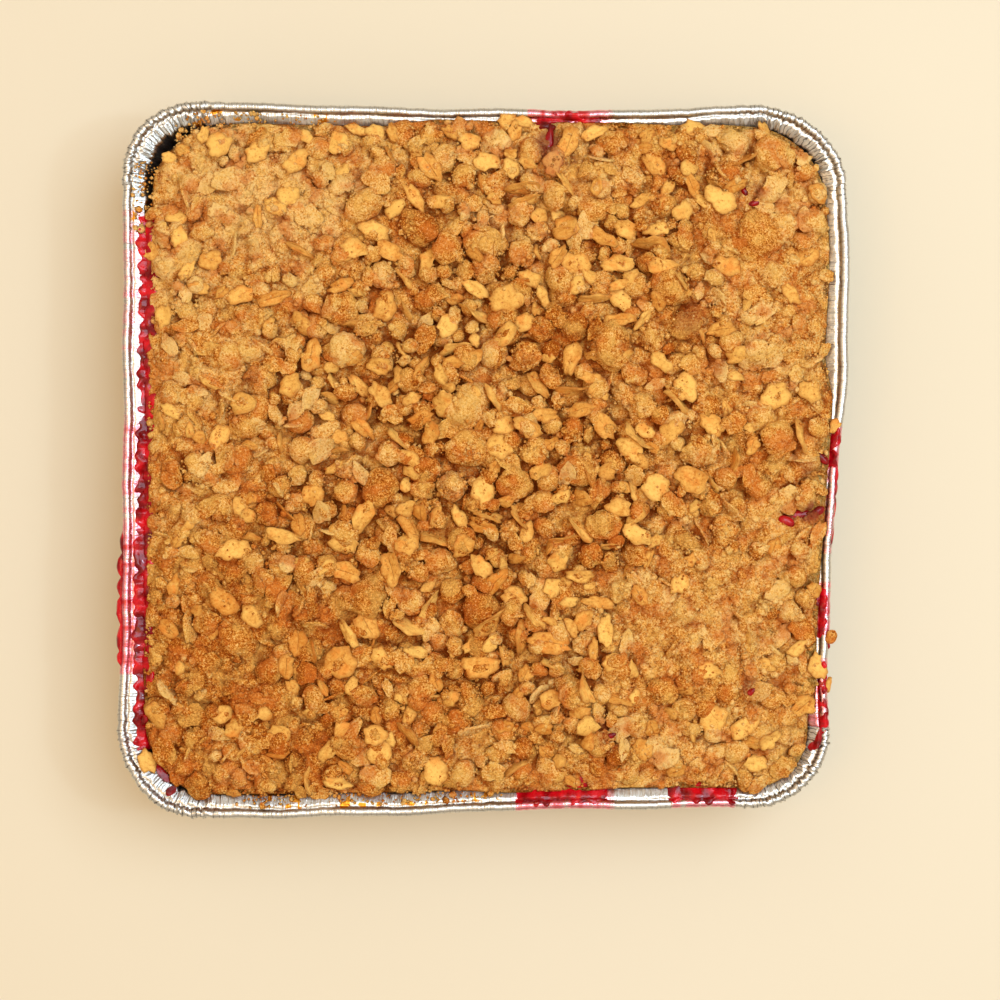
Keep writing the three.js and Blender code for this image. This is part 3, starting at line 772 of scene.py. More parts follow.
# How darkly the crumb is baked, from 0 to 1: hills, a step for each clump and the soft areas, and
# painted shade as more along the cracks.
def toastAndCrackShadeAt(u, v):
    size, _, _, seed = relief["clumps"][0]
    near, crack, value = cellsAt(u, v, size, seed)
    # Painted shade: darker along the cracks between the clumps.
    total = 0.36 + 0.16 * hills(u, v, 17, 71) + 0.22 * (value - 0.4) + 0.12 * (1 - ease(0.0, 0.25, crack))
    for a, b, radius, amount in toastAreas:
        total = total + amount * np.exp(-((u - a) ** 2 + (v - b) ** 2) / radius ** 2)
    return np.clip(total, 0, 1)


# How much juice soaked in, from 0 to 1: the strongest of the spots, each with a ragged edge.
def stainAt(u, v):
    total = 0 * u
    for a, b, radius, amount in stainSpots:
        away = np.hypot(u - a, v - b) + 1.5 * hills(u, v, 3, 81)
        total = np.maximum(total, amount * (1 - ease(radius * 0.4, radius, away)))
    return total


# Height of the tray's upper side at an inset: the bead, the shoulder, and down the wall.
def rimHeight(inset):
    (grooveIn, grooveUp), (shoulderIn, shoulderUp) = tray["groove"], tray["shoulder"]
    return np.interp(inset, (0, 0.4, 1.3, 2.3, grooveIn, shoulderIn, shoulderIn + 1, shoulderIn + 1.6),
                     (39.6, 40.6, tray["rim"], 40.2, grooveUp + 0.2, shoulderUp, 33.0, 29.0))


# A map of the topping's height, on a fine raster, that grows as pieces are laid on it.
class HeightMap:
    def __init__(self, reach, cell):
        self.reach, self.cell = reach, cell
        line = np.arange(-reach, reach + cell, cell)
        self.u, self.v = np.meshgrid(line, line, indexing="ij")
        self.count = len(line)
        foilTop = rimHeight(insetOf(self.u, self.v))
        self.z = np.where(roomAt(self.u, self.v) > -0.5, crustHeight(self.u, self.v), foilTop)
        self.clean = np.zeros_like(self.z)   # 1 where a clean flake lies on top

    def index(self, u):
        return np.clip((np.asarray(u) + self.reach) / self.cell, 1, self.count - 2.001)

    # The map averaged over square windows of a half width, from its running sums.
    def averaged(self, half):
        reach = round(half / self.cell)
        side = 2 * reach + 1
        total = np.pad(np.pad(self.z, reach, mode="edge").cumsum(axis=0).cumsum(axis=1), ((1, 0), (1, 0)))
        after, before = total[side:], total[:-side]
        return (after[:, side:] - before[:, side:] - after[:, :-side] + before[:, :-side]) / side ** 2

    # Height at a place, between the raster's points.
    def at(self, u, v, layer=None):
        layer = self.z if layer is None else layer
        a, b = self.index(u), self.index(v)
        i, j = a.astype(int), b.astype(int)
        near = mix(layer[i, j], layer[i + 1, j], a - i)
        far = mix(layer[i, j + 1], layer[i + 1, j + 1], a - i)
        return mix(near, far, b - j)

    # The raster's window around a place, as slices.
    def window(self, u, v, radius):
        reach = radius / self.cell
        a, b = self.index(u), self.index(v)
        rows = slice(max(0, int(a - reach)), int(a + reach) + 2)
        return rows, slice(max(0, int(b - reach)), int(b + reach) + 2)

    # The plane that fits the surface around a place: mean height, the slopes, and how far the
    # highest point stands over the plane.
    def plane(self, u, v, radius):
        window = self.window(u, v, radius)
        z = self.z[window]
        du, dv = self.u[window] - u, self.v[window] - v
        near = np.hypot(du, dv) < radius
        weight = near / max(1, near.sum())
        mean = (z * weight).sum()
        slopes = [((z - mean) * d * weight).sum() / max(1e-6, (d * d * weight).sum()) for d in (du, dv)]
        over = np.where(near, z - mean - slopes[0] * du - slopes[1] * dv, -9).max()
        return mean, slopes[0], slopes[1], over

    # Raises the map to a tilted, domed oval, and notes whether its top is clean.
    def lay(self, u, v, z, radii, turn, slopes, dome, clean):
        window = self.window(u, v, max(radii))
        du, dv = self.u[window] - u, self.v[window] - v
        along = (du * math.cos(turn) + dv * math.sin(turn)) / radii[0]
        across = (dv * math.cos(turn) - du * math.sin(turn)) / radii[1]
        inside = 1 - along ** 2 - across ** 2
        top = z + slopes[0] * du + slopes[1] * dv + dome * np.sqrt(np.clip(inside, 0, 1))
        covers = (inside > 0) & (top > self.z[window])
        self.z[window] = np.where(covers, top, self.z[window])
        self.clean[window] = np.where(covers, clean, self.clean[window])


# Shapes the bare crust on the map: sunk where nuggets crowd, domed clumps with cracks between, the
# split at the right, and small domes pressed in.
def shapeGround():
    dice = np.random.default_rng(2024)
    u, v = ground.u, ground.v
    ground.z -= crust["sunk"] + crust["pitLow"] * crowding(u, v) * ease(2, 9, insetOf(u, v))
    inCrust = ease(-0.5, 1.5, roomAt(u, v))
    for size, lift, depth, seed in relief["clumps"]:
        near, crack, value = cellsAt(u, v, size, seed)
        ground.z += inCrust * (lift * (value - 0.4 - 0.7 * near ** 2) - depth * (1 - ease(0.0, 0.28, crack)))
    a, b, length, width, depth = relief["split"]
    ground.z -= depth * np.exp(-((u - a) / length) ** 2 - ((v - b - 0.1 * (u - a)) / width) ** 2)
    for count, small, large in relief["domes"]:
        spots = dice.uniform(-96, 96, (count, 2))
        spots = spots[roomAt(*spots.T) > 0.5]
        radii = randomSizes(dice, len(spots), small, large, 1.7)
        for (u, v), radius in zip(spots, radii):
            level = ground.at(u, v) - 0.35 * radius
            ground.lay(u, v, level, (radius, radius * 0.8), 6.28 * dice.random(), (0, 0), radius * 0.85, 0)


ground = HeightMap(reach=103.0, cell=0.4)
shapeGround()
print("crust surface raised")


# Keeps a pile from growing too high: eased towards a limit over the finished surface.
def settled(level, u, v):
    over, most = level - crustHeight(u, v), crust["pileHigh"]
    return level if insetOf(u, v) < 3 or over < 0 else level - over + most * (1 - math.exp(-over / most))


# From 0 along the sides to 1 in the corners, where the foil's pleats reach further in.
def nearCorner(u, v):
    return ease(52, 70, np.minimum(np.abs(u), np.abs(v)))


# The crust: a square grid drawn out to the crust's edge, so that each ring of the grid is the edge
# scaled down. Its height is the raster's, falling away steeply in the last rings to the foil or the
# floor, and a fan closes it beneath.
def makeCrust():
    line = np.linspace(-1, 1, crust["cells"] + 1)
    a, b = np.meshgrid(line, line, indexing="ij")
    heading = np.linspace(-math.pi, math.pi, 1441)
    c, s = np.cos(heading), np.sin(heading)
    low, high = np.full(1441, 60.0), np.full(1441, 140.0)
    edge = edgeAt(c, s)[0]
    for _ in range(30):
        middle = (low + high) / 2
        inside = insetOf(middle * c, middle * s) > edge
        low, high = np.where(inside, middle, low), np.where(inside, high, middle)
    ring = np.maximum(np.abs(a), np.abs(b))
    angle = np.arctan2(b, a)
    u = np.cos(angle) * np.interp(angle, heading, low) * ring
    v = np.sin(angle) * np.interp(angle, heading, low) * ring
    ragged = 1.2 * hills(u, v, 4.6, 101) + 0.7 * hills(u, v, 1.8, 102)
    fall = ease(-0.5, 1.3, roomAt(u, v) + ragged)
    z = mix(crust["lip"], ground.at(u, v), fall)
    z = np.where(ring > 0.9999, crust["floor"], z)
    z = np.maximum(z, rimHeight(insetOf(u, v) - 1.0 - 1.2 * nearCorner(u, v)) + 0.2)
    top, border = gridFaces(np.arange(a.size).reshape(a.shape))
    fan = np.stack([np.full(len(border), a.size), np.roll(border, -1), border], axis=-1)
    points = np.concatenate([place(u, v, z).reshape(-1, 3), [(0.0, 0.0, crust["floor"])]])
    values = {"toast": toastAndCrackShadeAt(u, v), "stain": stainAt(u, v), "tone": 0.5 + 0.5 * hills(u, v, 1.3, 103)}
    values = {key: np.append(data.ravel(), 0) for key, data in values.items()}
    piece = makeMesh("crumbCrust", points, [top, fan], crumb, values)
    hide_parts("crumb_topping")


# A ball of triangles, from an icosahedron cut finer, as unit points and faces.
def ball(levels):
    golden = (1 + math.sqrt(5)) / 2
    flat = [(s, t * golden) for s in (-1, 1) for t in (-1, 1)]
    points = [(x, y, 0) for x, y in flat] + [(0, x, y) for x, y in flat] + [(y, 0, x) for x, y in flat]
    points = np.array(points)
    near = np.linalg.norm(points[:, None] - points[None], axis=-1) < 2.1
    n = len(points)
    faces = np.array([(i, j, k) for i in range(n) for j in range(i + 1, n) for k in range(j + 1, n)
                      if near[i, j] and near[j, k] and near[i, k]])
    for _ in range(levels):
        edges = np.sort(faces[:, [0, 1, 1, 2, 2, 0]].reshape(-1, 2), axis=1)
        unique, where = np.unique(edges, axis=0, return_inverse=True)
        where = where.reshape(-1, 3) + len(points)
        points = np.concatenate([points, points[unique].mean(axis=1)])
        points /= np.linalg.norm(points, axis=1, keepdims=True)
        a, b, c = faces.T
        ab, bc, ca = where.T
        parts = ((a, ab, ca), (ab, b, bc), (ca, bc, c), (ab, bc, ca))
        faces = np.concatenate([np.stack(part, axis=-1) for part in parts])
    points /= np.linalg.norm(points, axis=1, keepdims=True)
    p, q, r = (points[faces[:, k]] for k in range(3))
    inward = (np.cross(q - p, r - p) * p).sum(axis=1) < 0
    faces[inward] = faces[inward][:, ::-1]
    return points, faces


# Lumpy stones: ball points pushed in and out by random soft waves, squashed, and turned about +Z.
def lumpyBalls(count, levels, lumpiness, flatness, seed):
    rng = np.random.default_rng(seed)
    points, faces = ball(levels)
    swell = np.ones((count, len(points)))
    for wave in (1.6, 2.6, 4.5, 7.0):
        axis = rng.normal(size=(count, 3))
        axis /= np.linalg.norm(axis, axis=1, keepdims=True)
        phase = rng.uniform(0, 6.28, (count, 1))
        swell += lumpiness / wave ** 0.5 * np.sin(wave * axis @ points.T + phase)
    shapes = points[None] * swell[..., None]
    shapes[..., 1] *= rng.uniform(0.72, 1.0, (count, 1))
    shapes[..., 2] *= flatness
    shapes[..., 0], shapes[..., 1] = turned(shapes[..., 0], shapes[..., 1], rng.uniform(0, 6.28, (count, 1)))
    return shapes, faces


# Moves shapes drawn around the origin to their places, tilted to the slopes there, and bends them
# with the tray by moving each shape whole.
def settle(shapes, u, v, z, slopeU, slopeV):
    moved = shapes.copy()
    moved[..., 2] += shapes[..., 0] * slopeU[:, None] + shapes[..., 1] * slopeV[:, None]
    return moved + place(u, v, z)[:, None, :]


# Values for the points of many shapes: the same over a whole shape.
def spread(values, size):
    return {key: np.repeat(data, size) for key, data in values.items()}


# The largest nuggets, as in the solid crust: u, v, radius.
largeNuggets = [
    (76.4, 63.6, 7.6), (67.4, 80.2, 6.0), (79.8, 86.8, 5.2), (36.5, 31.8, 6.6), (1.3, 60.2, 6.3),
    (-37.3, 30.4, 5.6), (-39.0, 41.4, 5.2), (-64.6, 12.4, 6.4), (-77.8, -3.1, 6.0), (-32.2, 71.5, 5.2),
    (-2.7, 15.2, 6.6), (28.3, -2.3, 6.4), (62.1, 1.1, 5.8), (82.6, 5.3, 5.2), (52.8, 48.4, 5.6),
    (26.9, -66.4, 5.8), (-67.4, -51.0, 5.4), (-30.3, -38.8, 6.0),
]

# The camera's place, its height over the rim, and the size of a pixel at the rim, of 1000 across.
photoView = {"cameraAt": (4.2, -11.3), "cameraUp": 550.0, "pixel": 0.2815}

# Other nuggets and flakes that stand out, by their place in the photograph: right, down, and the
# radius, or the length, width and direction, in pixels and degrees.
nuggetMarks = [
    (773, 277, 17), (789, 219, 15), (688, 323, 18), (656, 336, 17), (635, 373, 13), (624, 395, 13),
    (642, 405, 13), (573, 324, 15), (416, 225, 20), (449, 247, 17), (383, 273, 15), (522, 253, 15),
    (521, 211, 15), (537, 230, 12), (524, 356, 18), (543, 327, 14), (552, 376, 13), (426, 471, 15),
    (423, 491, 13), (453, 487, 17), (515, 485, 17), (533, 451, 15), (467, 449, 20), (345, 492, 12),
    (381, 488, 20), (545, 502, 13), (573, 430, 14), (659, 415, 10), (366, 555, 14), (345, 597, 13),
    (411, 603, 15), (452, 592, 12), (452, 625, 14), (481, 611, 20), (509, 530, 11), (529, 552, 15),
    (416, 570, 12), (438, 562, 15), (605, 525, 18), (590, 556, 13), (586, 645, 13), (546, 530, 13),
    (622, 590, 13), (150, 209, 9), (158, 227, 9), (161, 265, 11), (486, 270, 15), (616, 138, 16),
    (555, 193, 14), (690, 151, 11), (790, 257, 12), (468, 698, 18), (661, 692, 16), (197, 790, 15),
    (835, 638, 8),
]
flakeMarks = [
    (218, 143, 28, 26, 10), (256, 151, 26, 24, 60), (295, 160, 34, 20, 45), (287, 194, 28, 24, 80),
    (201, 132, 20, 12, 75), (179, 146, 18, 14, 130), (166, 154, 16, 12, 0), (305, 133, 18, 16, 90),
    (337, 141, 26, 24, 0), (275, 206, 28, 16, 150), (257, 216, 26, 10, 90), (208, 259, 26, 20, 20),
    (161, 314, 24, 20, 70), (145, 248, 22, 19, 160), (185, 268, 26, 12, 60), (198, 287, 24, 13, 160),
    (241, 294, 34, 18, 10), (272, 297, 36, 15, 15), (178, 236, 22, 16, 80), (374, 128, 22, 20, 0),
    (392, 130, 24, 11, 110), (356, 126, 24, 12, 160), (450, 129, 20, 14, 170), (470, 138, 26, 18, 0),
    (487, 160, 30, 18, 0), (510, 152, 18, 14, 60), (394, 207, 28, 15, 30), (414, 196, 30, 14, 125),
    (374, 230, 34, 19, 150), (355, 248, 33, 20, 5), (388, 250, 34, 18, 155), (428, 258, 26, 17, 70),
    (475, 287, 33, 14, 145), (522, 187, 36, 13, 15), (524, 200, 34, 8, 15), (529, 279, 26, 20, 0),
    (543, 295, 26, 11, 110), (506, 299, 36, 28, 10), (385, 307, 32, 23, 85), (524, 322, 24, 19, 30),
    (475, 313, 36, 8, 155), (455, 349, 36, 7, 22), (421, 368, 28, 10, 45), (440, 374, 28, 13, 120),
    (443, 404, 30, 22, 65), (431, 433, 28, 18, 60), (411, 399, 27, 12, 30), (380, 395, 29, 22, 140),
    (357, 385, 30, 15, 140), (379, 365, 26, 20, 0), (453, 363, 24, 13, 170), (474, 358, 22, 16, 40),
    (338, 436, 18, 15, 0), (334, 467, 26, 12, 15), (498, 445, 34, 24, 130), (484, 490, 32, 27, 90),
    (505, 425, 26, 18, 20), (528, 427, 34, 17, 150), (398, 438, 30, 9, 130), (362, 428, 28, 16, 140),
    (495, 397, 32, 9, 120), (620, 298, 34, 18, 130), (619, 319, 34, 13, 0), (643, 320, 25, 8, 50),
    (572, 357, 36, 19, 70), (548, 357, 16, 11, 0), (590, 378, 28, 12, 170), (598, 391, 28, 15, 150),
    (574, 391, 38, 9, 15), (538, 384, 34, 12, 130), (545, 415, 28, 17, 5), (580, 410, 30, 16, 10),
    (604, 425, 34, 20, 130), (607, 471, 24, 19, 60), (541, 471, 24, 20, 20), (662, 361, 32, 14, 140),
    (687, 387, 34, 23, 110), (679, 400, 40, 9, 130), (671, 432, 33, 20, 55), (638, 436, 40, 10, 135),
    (646, 430, 24, 14, 150), (657, 488, 34, 26, 170), (693, 480, 38, 25, 150), (625, 487, 18, 10, 150),
    (635, 492, 22, 8, 110), (630, 448, 34, 21, 140), (362, 517, 36, 20, 70), (406, 509, 22, 19, 10),
    (435, 517, 24, 8, 60), (459, 518, 27, 14, 120), (485, 514, 36, 8, 165), (519, 517, 30, 8, 120),
    (343, 545, 30, 25, 0), (345, 572, 32, 19, 160), (437, 538, 37, 11, 160), (463, 546, 26, 22, 90),
    (391, 568, 38, 23, 110), (480, 567, 30, 18, 130), (482, 526, 30, 17, 165), (367, 625, 32, 26, 120),
    (429, 605, 34, 11, 50), (408, 626, 40, 12, 160), (491, 622, 44, 16, 50), (340, 662, 36, 32, 60),
    (480, 667, 40, 24, 175), (417, 652, 27, 14, 0), (455, 650, 20, 12, 70), (514, 596, 27, 24, 140),
    (522, 638, 37, 11, 90), (348, 633, 32, 14, 125), (550, 643, 42, 23, 170), (619, 508, 28, 20, 160),
    (579, 530, 34, 10, 135), (564, 540, 30, 9, 15), (608, 546, 20, 6, 25), (638, 536, 34, 20, 150),
    (656, 541, 24, 11, 40), (558, 561, 26, 20, 90), (580, 576, 30, 14, 0), (553, 588, 24, 17, 80),
    (569, 603, 20, 14, 0), (599, 603, 34, 14, 170), (584, 620, 25, 17, 50), (606, 632, 32, 16, 90),
    (594, 652, 28, 11, 90), (614, 662, 25, 18, 20), (585, 687, 36, 12, 100), (680, 583, 24, 20, 60),
    (709, 671, 24, 18, 170), (648, 560, 22, 10, 80), (569, 140, 34, 20, 70), (595, 130, 32, 13, 25),
    (648, 133, 20, 16, 90), (669, 141, 25, 13, 175), (553, 163, 28, 18, 80), (567, 181, 31, 10, 115),
    (655, 163, 32, 20, 135), (597, 186, 20, 14, 80), (668, 188, 24, 12, 50), (693, 184, 31, 12, 115),
    (641, 200, 25, 11, 30), (721, 199, 36, 23, 150), (683, 211, 24, 18, 50), (566, 227, 31, 26, 165),
    (558, 256, 27, 17, 60), (604, 238, 36, 15, 145), (626, 228, 27, 19, 160), (656, 229, 28, 14, 10),
    (651, 245, 40, 13, 0), (618, 263, 38, 16, 0), (662, 266, 34, 16, 175), (619, 285, 24, 11, 20),
    (577, 285, 22, 15, 70), (596, 298, 34, 7, 5), (792, 293, 25, 16, 120), (722, 329, 30, 16, 5),
    (738, 354, 27, 19, 30), (777, 396, 33, 28, 40), (753, 446, 20, 14, 80), (752, 427, 14, 12, 0),
    (803, 435, 38, 11, 100), (712, 424, 30, 20, 140), (312, 494, 26, 24, 40), (290, 385, 30, 24, 100),
    (311, 356, 35, 20, 80), (218, 436, 28, 20, 60), (715, 722, 33, 28, 80), (805, 708, 30, 22, 40),
    (820, 668, 28, 22, 90), (375, 736, 24, 22, 0), (770, 740, 26, 20, 30), (757, 765, 26, 18, 0),
    (838, 425, 16, 12, 60), (507, 116, 20, 16, 20), (524, 118, 20, 14, 150), (515, 127, 22, 14, 80),
    (833, 687, 17, 6, 80), (143, 765, 25, 18, 110), (282, 537, 34, 18, 170), (233, 550, 34, 22, 10),
    (222, 602, 34, 24, 140), (250, 617, 30, 18, 130), (297, 643, 26, 22, 90), (336, 785, 30, 14, 165),
]


# Places that scattered nuggets and flakes leave bare: right, down and radius.
bareMarks = [(789, 521, 9), (805, 516, 10), (821, 512, 9), (548, 131, 9)]


# A place in the photograph, at the topping's height, as u and v: back through the camera, and then
# against the tray's bending by two corrections.
def fromPhoto(right, down):
    high = crust["edgeHeight"] + crust["crown"] + 1
    pixel = photoView["pixel"] * (1 - (high - tray["rim"]) / photoView["cameraUp"])
    x = photoView["cameraAt"][0] + (np.asarray(right) - 500.0) * pixel
    y = photoView["cameraAt"][1] - (np.asarray(down) - 500.0) * pixel
    return unplaced(x, y, np.full_like(x, high))


# Rows of marks that begin with right, down and a radius in pixels, as (u, v, radius in millimetres).
def placed(marks):
    right, down, radius = np.array(marks, dtype=float).T[:3]
    u, v = fromPhoto(right, down)
    return list(zip(u, v, radius * photoView["pixel"]))


# Picks which of many random places to keep, so that none is nearer to an earlier one than the
# given share of their two radii.
def spacedOut(u, v, radii, share, earlier=()):
    chosen, kept = list(earlier), []
    for i in range(len(u)):
        if chosen:
            a, b, r = np.array(chosen).T
            if (np.hypot(a - u[i], b - v[i]) < share * (r + radii[i])).any():
                continue
        chosen.append((u[i], v[i], radii[i]))
        kept.append(i)
    return np.array(kept)


nuggets = {
    "tries": 3000, "small": 1.9, "large": 4.4, "flatness": 0.8, "lumpiness": 0.13, "spacing": 0.8,
    "fine": 96,    # how many of the largest have a finer mesh
    "sunk": 0.45, "mostSlope": 0.5, "grit": 0.4,    # depth as a share of the radius, and roughness in mm
}


# Nuggets of crumb, from the largest down, each resting on what lies below it.
def makeNuggets():
    rng = np.random.default_rng(31)
    marked = np.array(nuggetMarks, dtype=float).T
    u, v = fromPhoto(marked[0], marked[1])
    big = np.concatenate([np.array(largeNuggets), np.stack([u, v, marked[2] * photoView["pixel"]], axis=-1)])
    u, v = rng.uniform(-95, 95, (2, nuggets["tries"]))
    radii = np.sort(randomSizes(rng, nuggets["tries"], nuggets["small"], nuggets["large"], 1.3))[::-1]
    room, shown = roomAt(u, v), edgeAt(u, v)[1]
    keep = (room > radii * mix(0.35, 0.95, shown)) & (rng.random(len(u)) < 0.12 + 0.88 * crowding(u, v))
    u, v, radii = u[keep], v[keep], radii[keep]
    keep = spacedOut(u, v, radii, nuggets["spacing"], [tuple(row) for row in big] + placed(bareMarks))
    u, v, radii = (np.concatenate([big[:, k], data[keep]]) for k, data in ((0, u), (1, v), (2, radii)))
    rows = []
    for a, b, radius in zip(u, v, radii):
        mean, slopeU, slopeV = ground.plane(a, b, radius * 0.8)[:3]
        level = crustHeight(a, b) - nuggets["sunk"] * radius
        level += rng.uniform(-1.6, 0.5) if radius < 5 else 0.2
        level = max(level, mean - 0.3 * radius)
        slopeU, slopeV = np.clip([slopeU, slopeV], -nuggets["mostSlope"], nuggets["mostSlope"])
        dome = radius * nuggets["flatness"] * 0.9
        ground.lay(a, b, level, (radius, radius * 0.85), 0, (slopeU, slopeV), dome, 0)
        rows.append((level, slopeU, slopeV))
    z, slopeU, slopeV = np.array(rows).T
    fine = np.arange(len(u)) < nuggets["fine"]
    toast = np.clip(toastAndCrackShadeAt(u, v) - 0.02 + 0.10 * rng.normal(size=len(u)), 0, 1)
    for name, chosen, levels, seed in (("largeNuggets", fine, 3, 41), ("smallNuggets", ~fine, 1, 42)):
        count = int(chosen.sum())
        shapes, faces = lumpyBalls(count, levels, nuggets["lumpiness"], nuggets["flatness"], seed)
        shapes *= radii[chosen][:, None, None]
        points = settle(shapes, u[chosen], v[chosen], z[chosen], slopeU[chosen], slopeV[chosen])
        grit = hills(points[..., 0], points[..., 1] + 0.7 * points[..., 2], 1.1, 43)
        grit += 0.8 * hills(points[..., 0] + 0.7 * points[..., 2], points[..., 1], 2.1, 44)
        outward = shapes / np.linalg.norm(shapes, axis=-1, keepdims=True)
        points += outward * nuggets["grit"] * grit[..., None]
        values = spread({"toast": toast[chosen], "tone": rng.random(count)}, shapes.shape[1])
        values["stain"] = stainAt(points[..., 0] + middleOfRim[0], points[..., 1] + middleOfRim[1]).ravel()
        piece = makeMany(name, points, [faces], crumb, values)


flakes = {
    "tries": 3200, "small": 2.2, "large": 4.9, "thick": 0.38, "spacing": 0.56,    # half lengths
    "onEdge": 0.26, "edgeSteepness": (1.2, 3.2), "mostSlope": 0.6, "lean": 0.42,
    "narrow": 0.38, "width": (0.46, 0.82), "markedWidth": 0.62,    # half widths for each half length
    "plain": (14, ((0.88, 0.9), (1.0, 0.1), (0.93, -0.8))),    # sides, and rings of reach and height
    "marked": (22, ((0.35, 1.0), (0.65, 1.0), (0.9, 0.8), (1.0, 0.1), (0.95, -0.8))),
}


# An oat flake's template: rings of points from the middle of the top to the middle beneath, as
# (angle, reach, height over half the thickness), and its faces.
def flakeTemplate(sides, rings):
    angle = np.arange(sides) * 2 * math.pi / sides
    rows = [(0.0, 0.0, 1.0)] + [(a, reach, side) for reach, side in rings for a in angle] + [(0.0, 0.0, -1.0)]
    i = np.arange(sides)
    j = (i + 1) % sides
    last, lowest = 1 + len(rings) * sides, 1 + (len(rings) - 1) * sides
    fans = [np.stack([0 * i, 1 + i, 1 + j], axis=-1),
            np.stack([0 * i + last, lowest + j, lowest + i], axis=-1)]
    starts = 1 + sides * np.arange(len(rings) - 1)
    quads = [np.stack([k + i, k + sides + i, k + sides + j, k + j], axis=-1) for k in starts]
    return np.array(rows), [np.concatenate(quads), np.concatenate(fans)]


# Oat flakes laid one by one: each leans on what is under it, and is curled and ragged.
def makeFlakes():
    rng = np.random.default_rng(53)
    marks = np.array(flakeMarks, dtype=float).T
    markU, markV = fromPhoto(marks[0], marks[1])
    markLong, markWide = marks[2:4] * photoView["pixel"] / 2
    count = flakes["tries"]
    u, v = rng.uniform(-96.5, 96.5, (2, count))
    long = randomSizes(rng, count, flakes["small"], flakes["large"], 0.9)
    room, shown = roomAt(u, v), edgeAt(u, v)[1]
    keep = (room > long * mix(0.2, 0.8, shown)) & (rng.random(count) < 0.16 + 0.84 * crowding(u, v))
    u, v, long = u[keep], v[keep], long[keep]
    earlier = list(zip(markU, markV, markLong * 1.2)) + placed(nuggetMarks) + placed(bareMarks)
    keep = spacedOut(u, v, long, flakes["spacing"], earlier)
    both = ((u, markU), (v, markV), (long, markLong))
    u, v, long = (np.concatenate([scattered[keep], marked]) for scattered, marked in both)
    count, plain = len(u), len(keep)
    marked = np.arange(count) >= plain
    narrow = markWide < flakes["narrow"] * markLong    # these stand on edge, steep enough to look narrow
    fullWidth = flakes["markedWidth"] * markLong
    markSteep = np.where(narrow, np.sqrt(np.maximum((fullWidth / markWide) ** 2 - 1, 0)), 0).clip(0, 3)
    markWide = np.where(narrow, fullWidth, markWide)
    wide = np.append(long[:plain] * rng.uniform(*flakes["width"], plain), markWide)
    turn, lean = rng.uniform(0, 6.28, (2, count))
    turn[marked] = np.radians(marks[4])
    onEdge = (rng.random(count) < flakes["onEdge"]) & ~marked
    onEdge[plain:] = narrow
    lean = np.where(onEdge, turn + math.pi / 2, lean)
    steep = rng.uniform(*flakes["edgeSteepness"], count)
    steep = np.where(onEdge, steep, flakes["lean"] * rng.random(count) ** 1.2)
    steep[plain:] = np.where(narrow, markSteep, 0.18 * rng.random(count - plain))
    rows = []
    for i in range(count):
        mean, slopeU, slopeV, over = ground.plane(u[i], v[i], long[i] * 0.8)
        slopeU, slopeV = np.clip([slopeU, slopeV], -flakes["mostSlope"], flakes["mostSlope"])
        tiltU, tiltV = slopeU + steep[i] * math.cos(lean[i]), slopeV + steep[i] * math.sin(lean[i])
        shrink = 1 / math.sqrt(1 + tiltU ** 2 + tiltV ** 2)
        if onEdge[i]:
            level = mean + 0.25 * wide[i]
            size, slopes = (long[i], max(0.8, wide[i] * shrink)), (0, 0)
        else:
            share = 0.55 if marked[i] else rng.uniform(0.0, 0.4) + 0.4 * crowding(u[i], v[i])
            level = settled(mean + over * share, u[i], v[i])
            size, slopes = (long[i] * mix(1, shrink, 0.7), wide[i] * mix(1, shrink, 0.7)), (tiltU, tiltV)
        ground.lay(u[i], v[i], level, size, turn[i], slopes, flakes["thick"] * 0.8, 1)
        rows.append((level, tiltU, tiltV))
    z, tiltU, tiltV = np.array(rows).T
    toast = np.clip(toastAndCrackShadeAt(u, v) + 0.16 * rng.normal(size=count) - 0.08 * marked, 0, 1)
    tone = np.where(marked, 0.8, 1) * rng.random(count)
    values = {"toast": toast, "stain": stainAt(u, v) * 0.7, "tone": tone}
    clean = rng.random(count) < 0.12 + 0.42 * crowding(u, v)
    groups = (("markedFlakes", marked, "marked", oat), ("paleFlakes", clean & ~marked, "plain", oat),
              ("coatedFlakes", ~clean & ~marked, "plain", crumb))
    for name, chosen, kind, material in groups:
        sides, rings = flakes[kind]
        shape = {"long": long, "wide": wide, "turn": turn, "tiltU": tiltU, "tiltV": tiltV}
        shape = {key: data[chosen][:, None] for key, data in shape.items()}
        points, uv, faces = flakeShapes(sides, rings, shape, rng)
        points = points + place(u[chosen], v[chosen], z[chosen])[:, None, :]
        own = spread({key: data[chosen] for key, data in values.items()}, points.shape[1])
        if material is crumb:
            own["toast"] = np.clip(own["toast"] - 0.12, 0, 1)
        piece = makeMany(name, points, faces, material, own, uv)


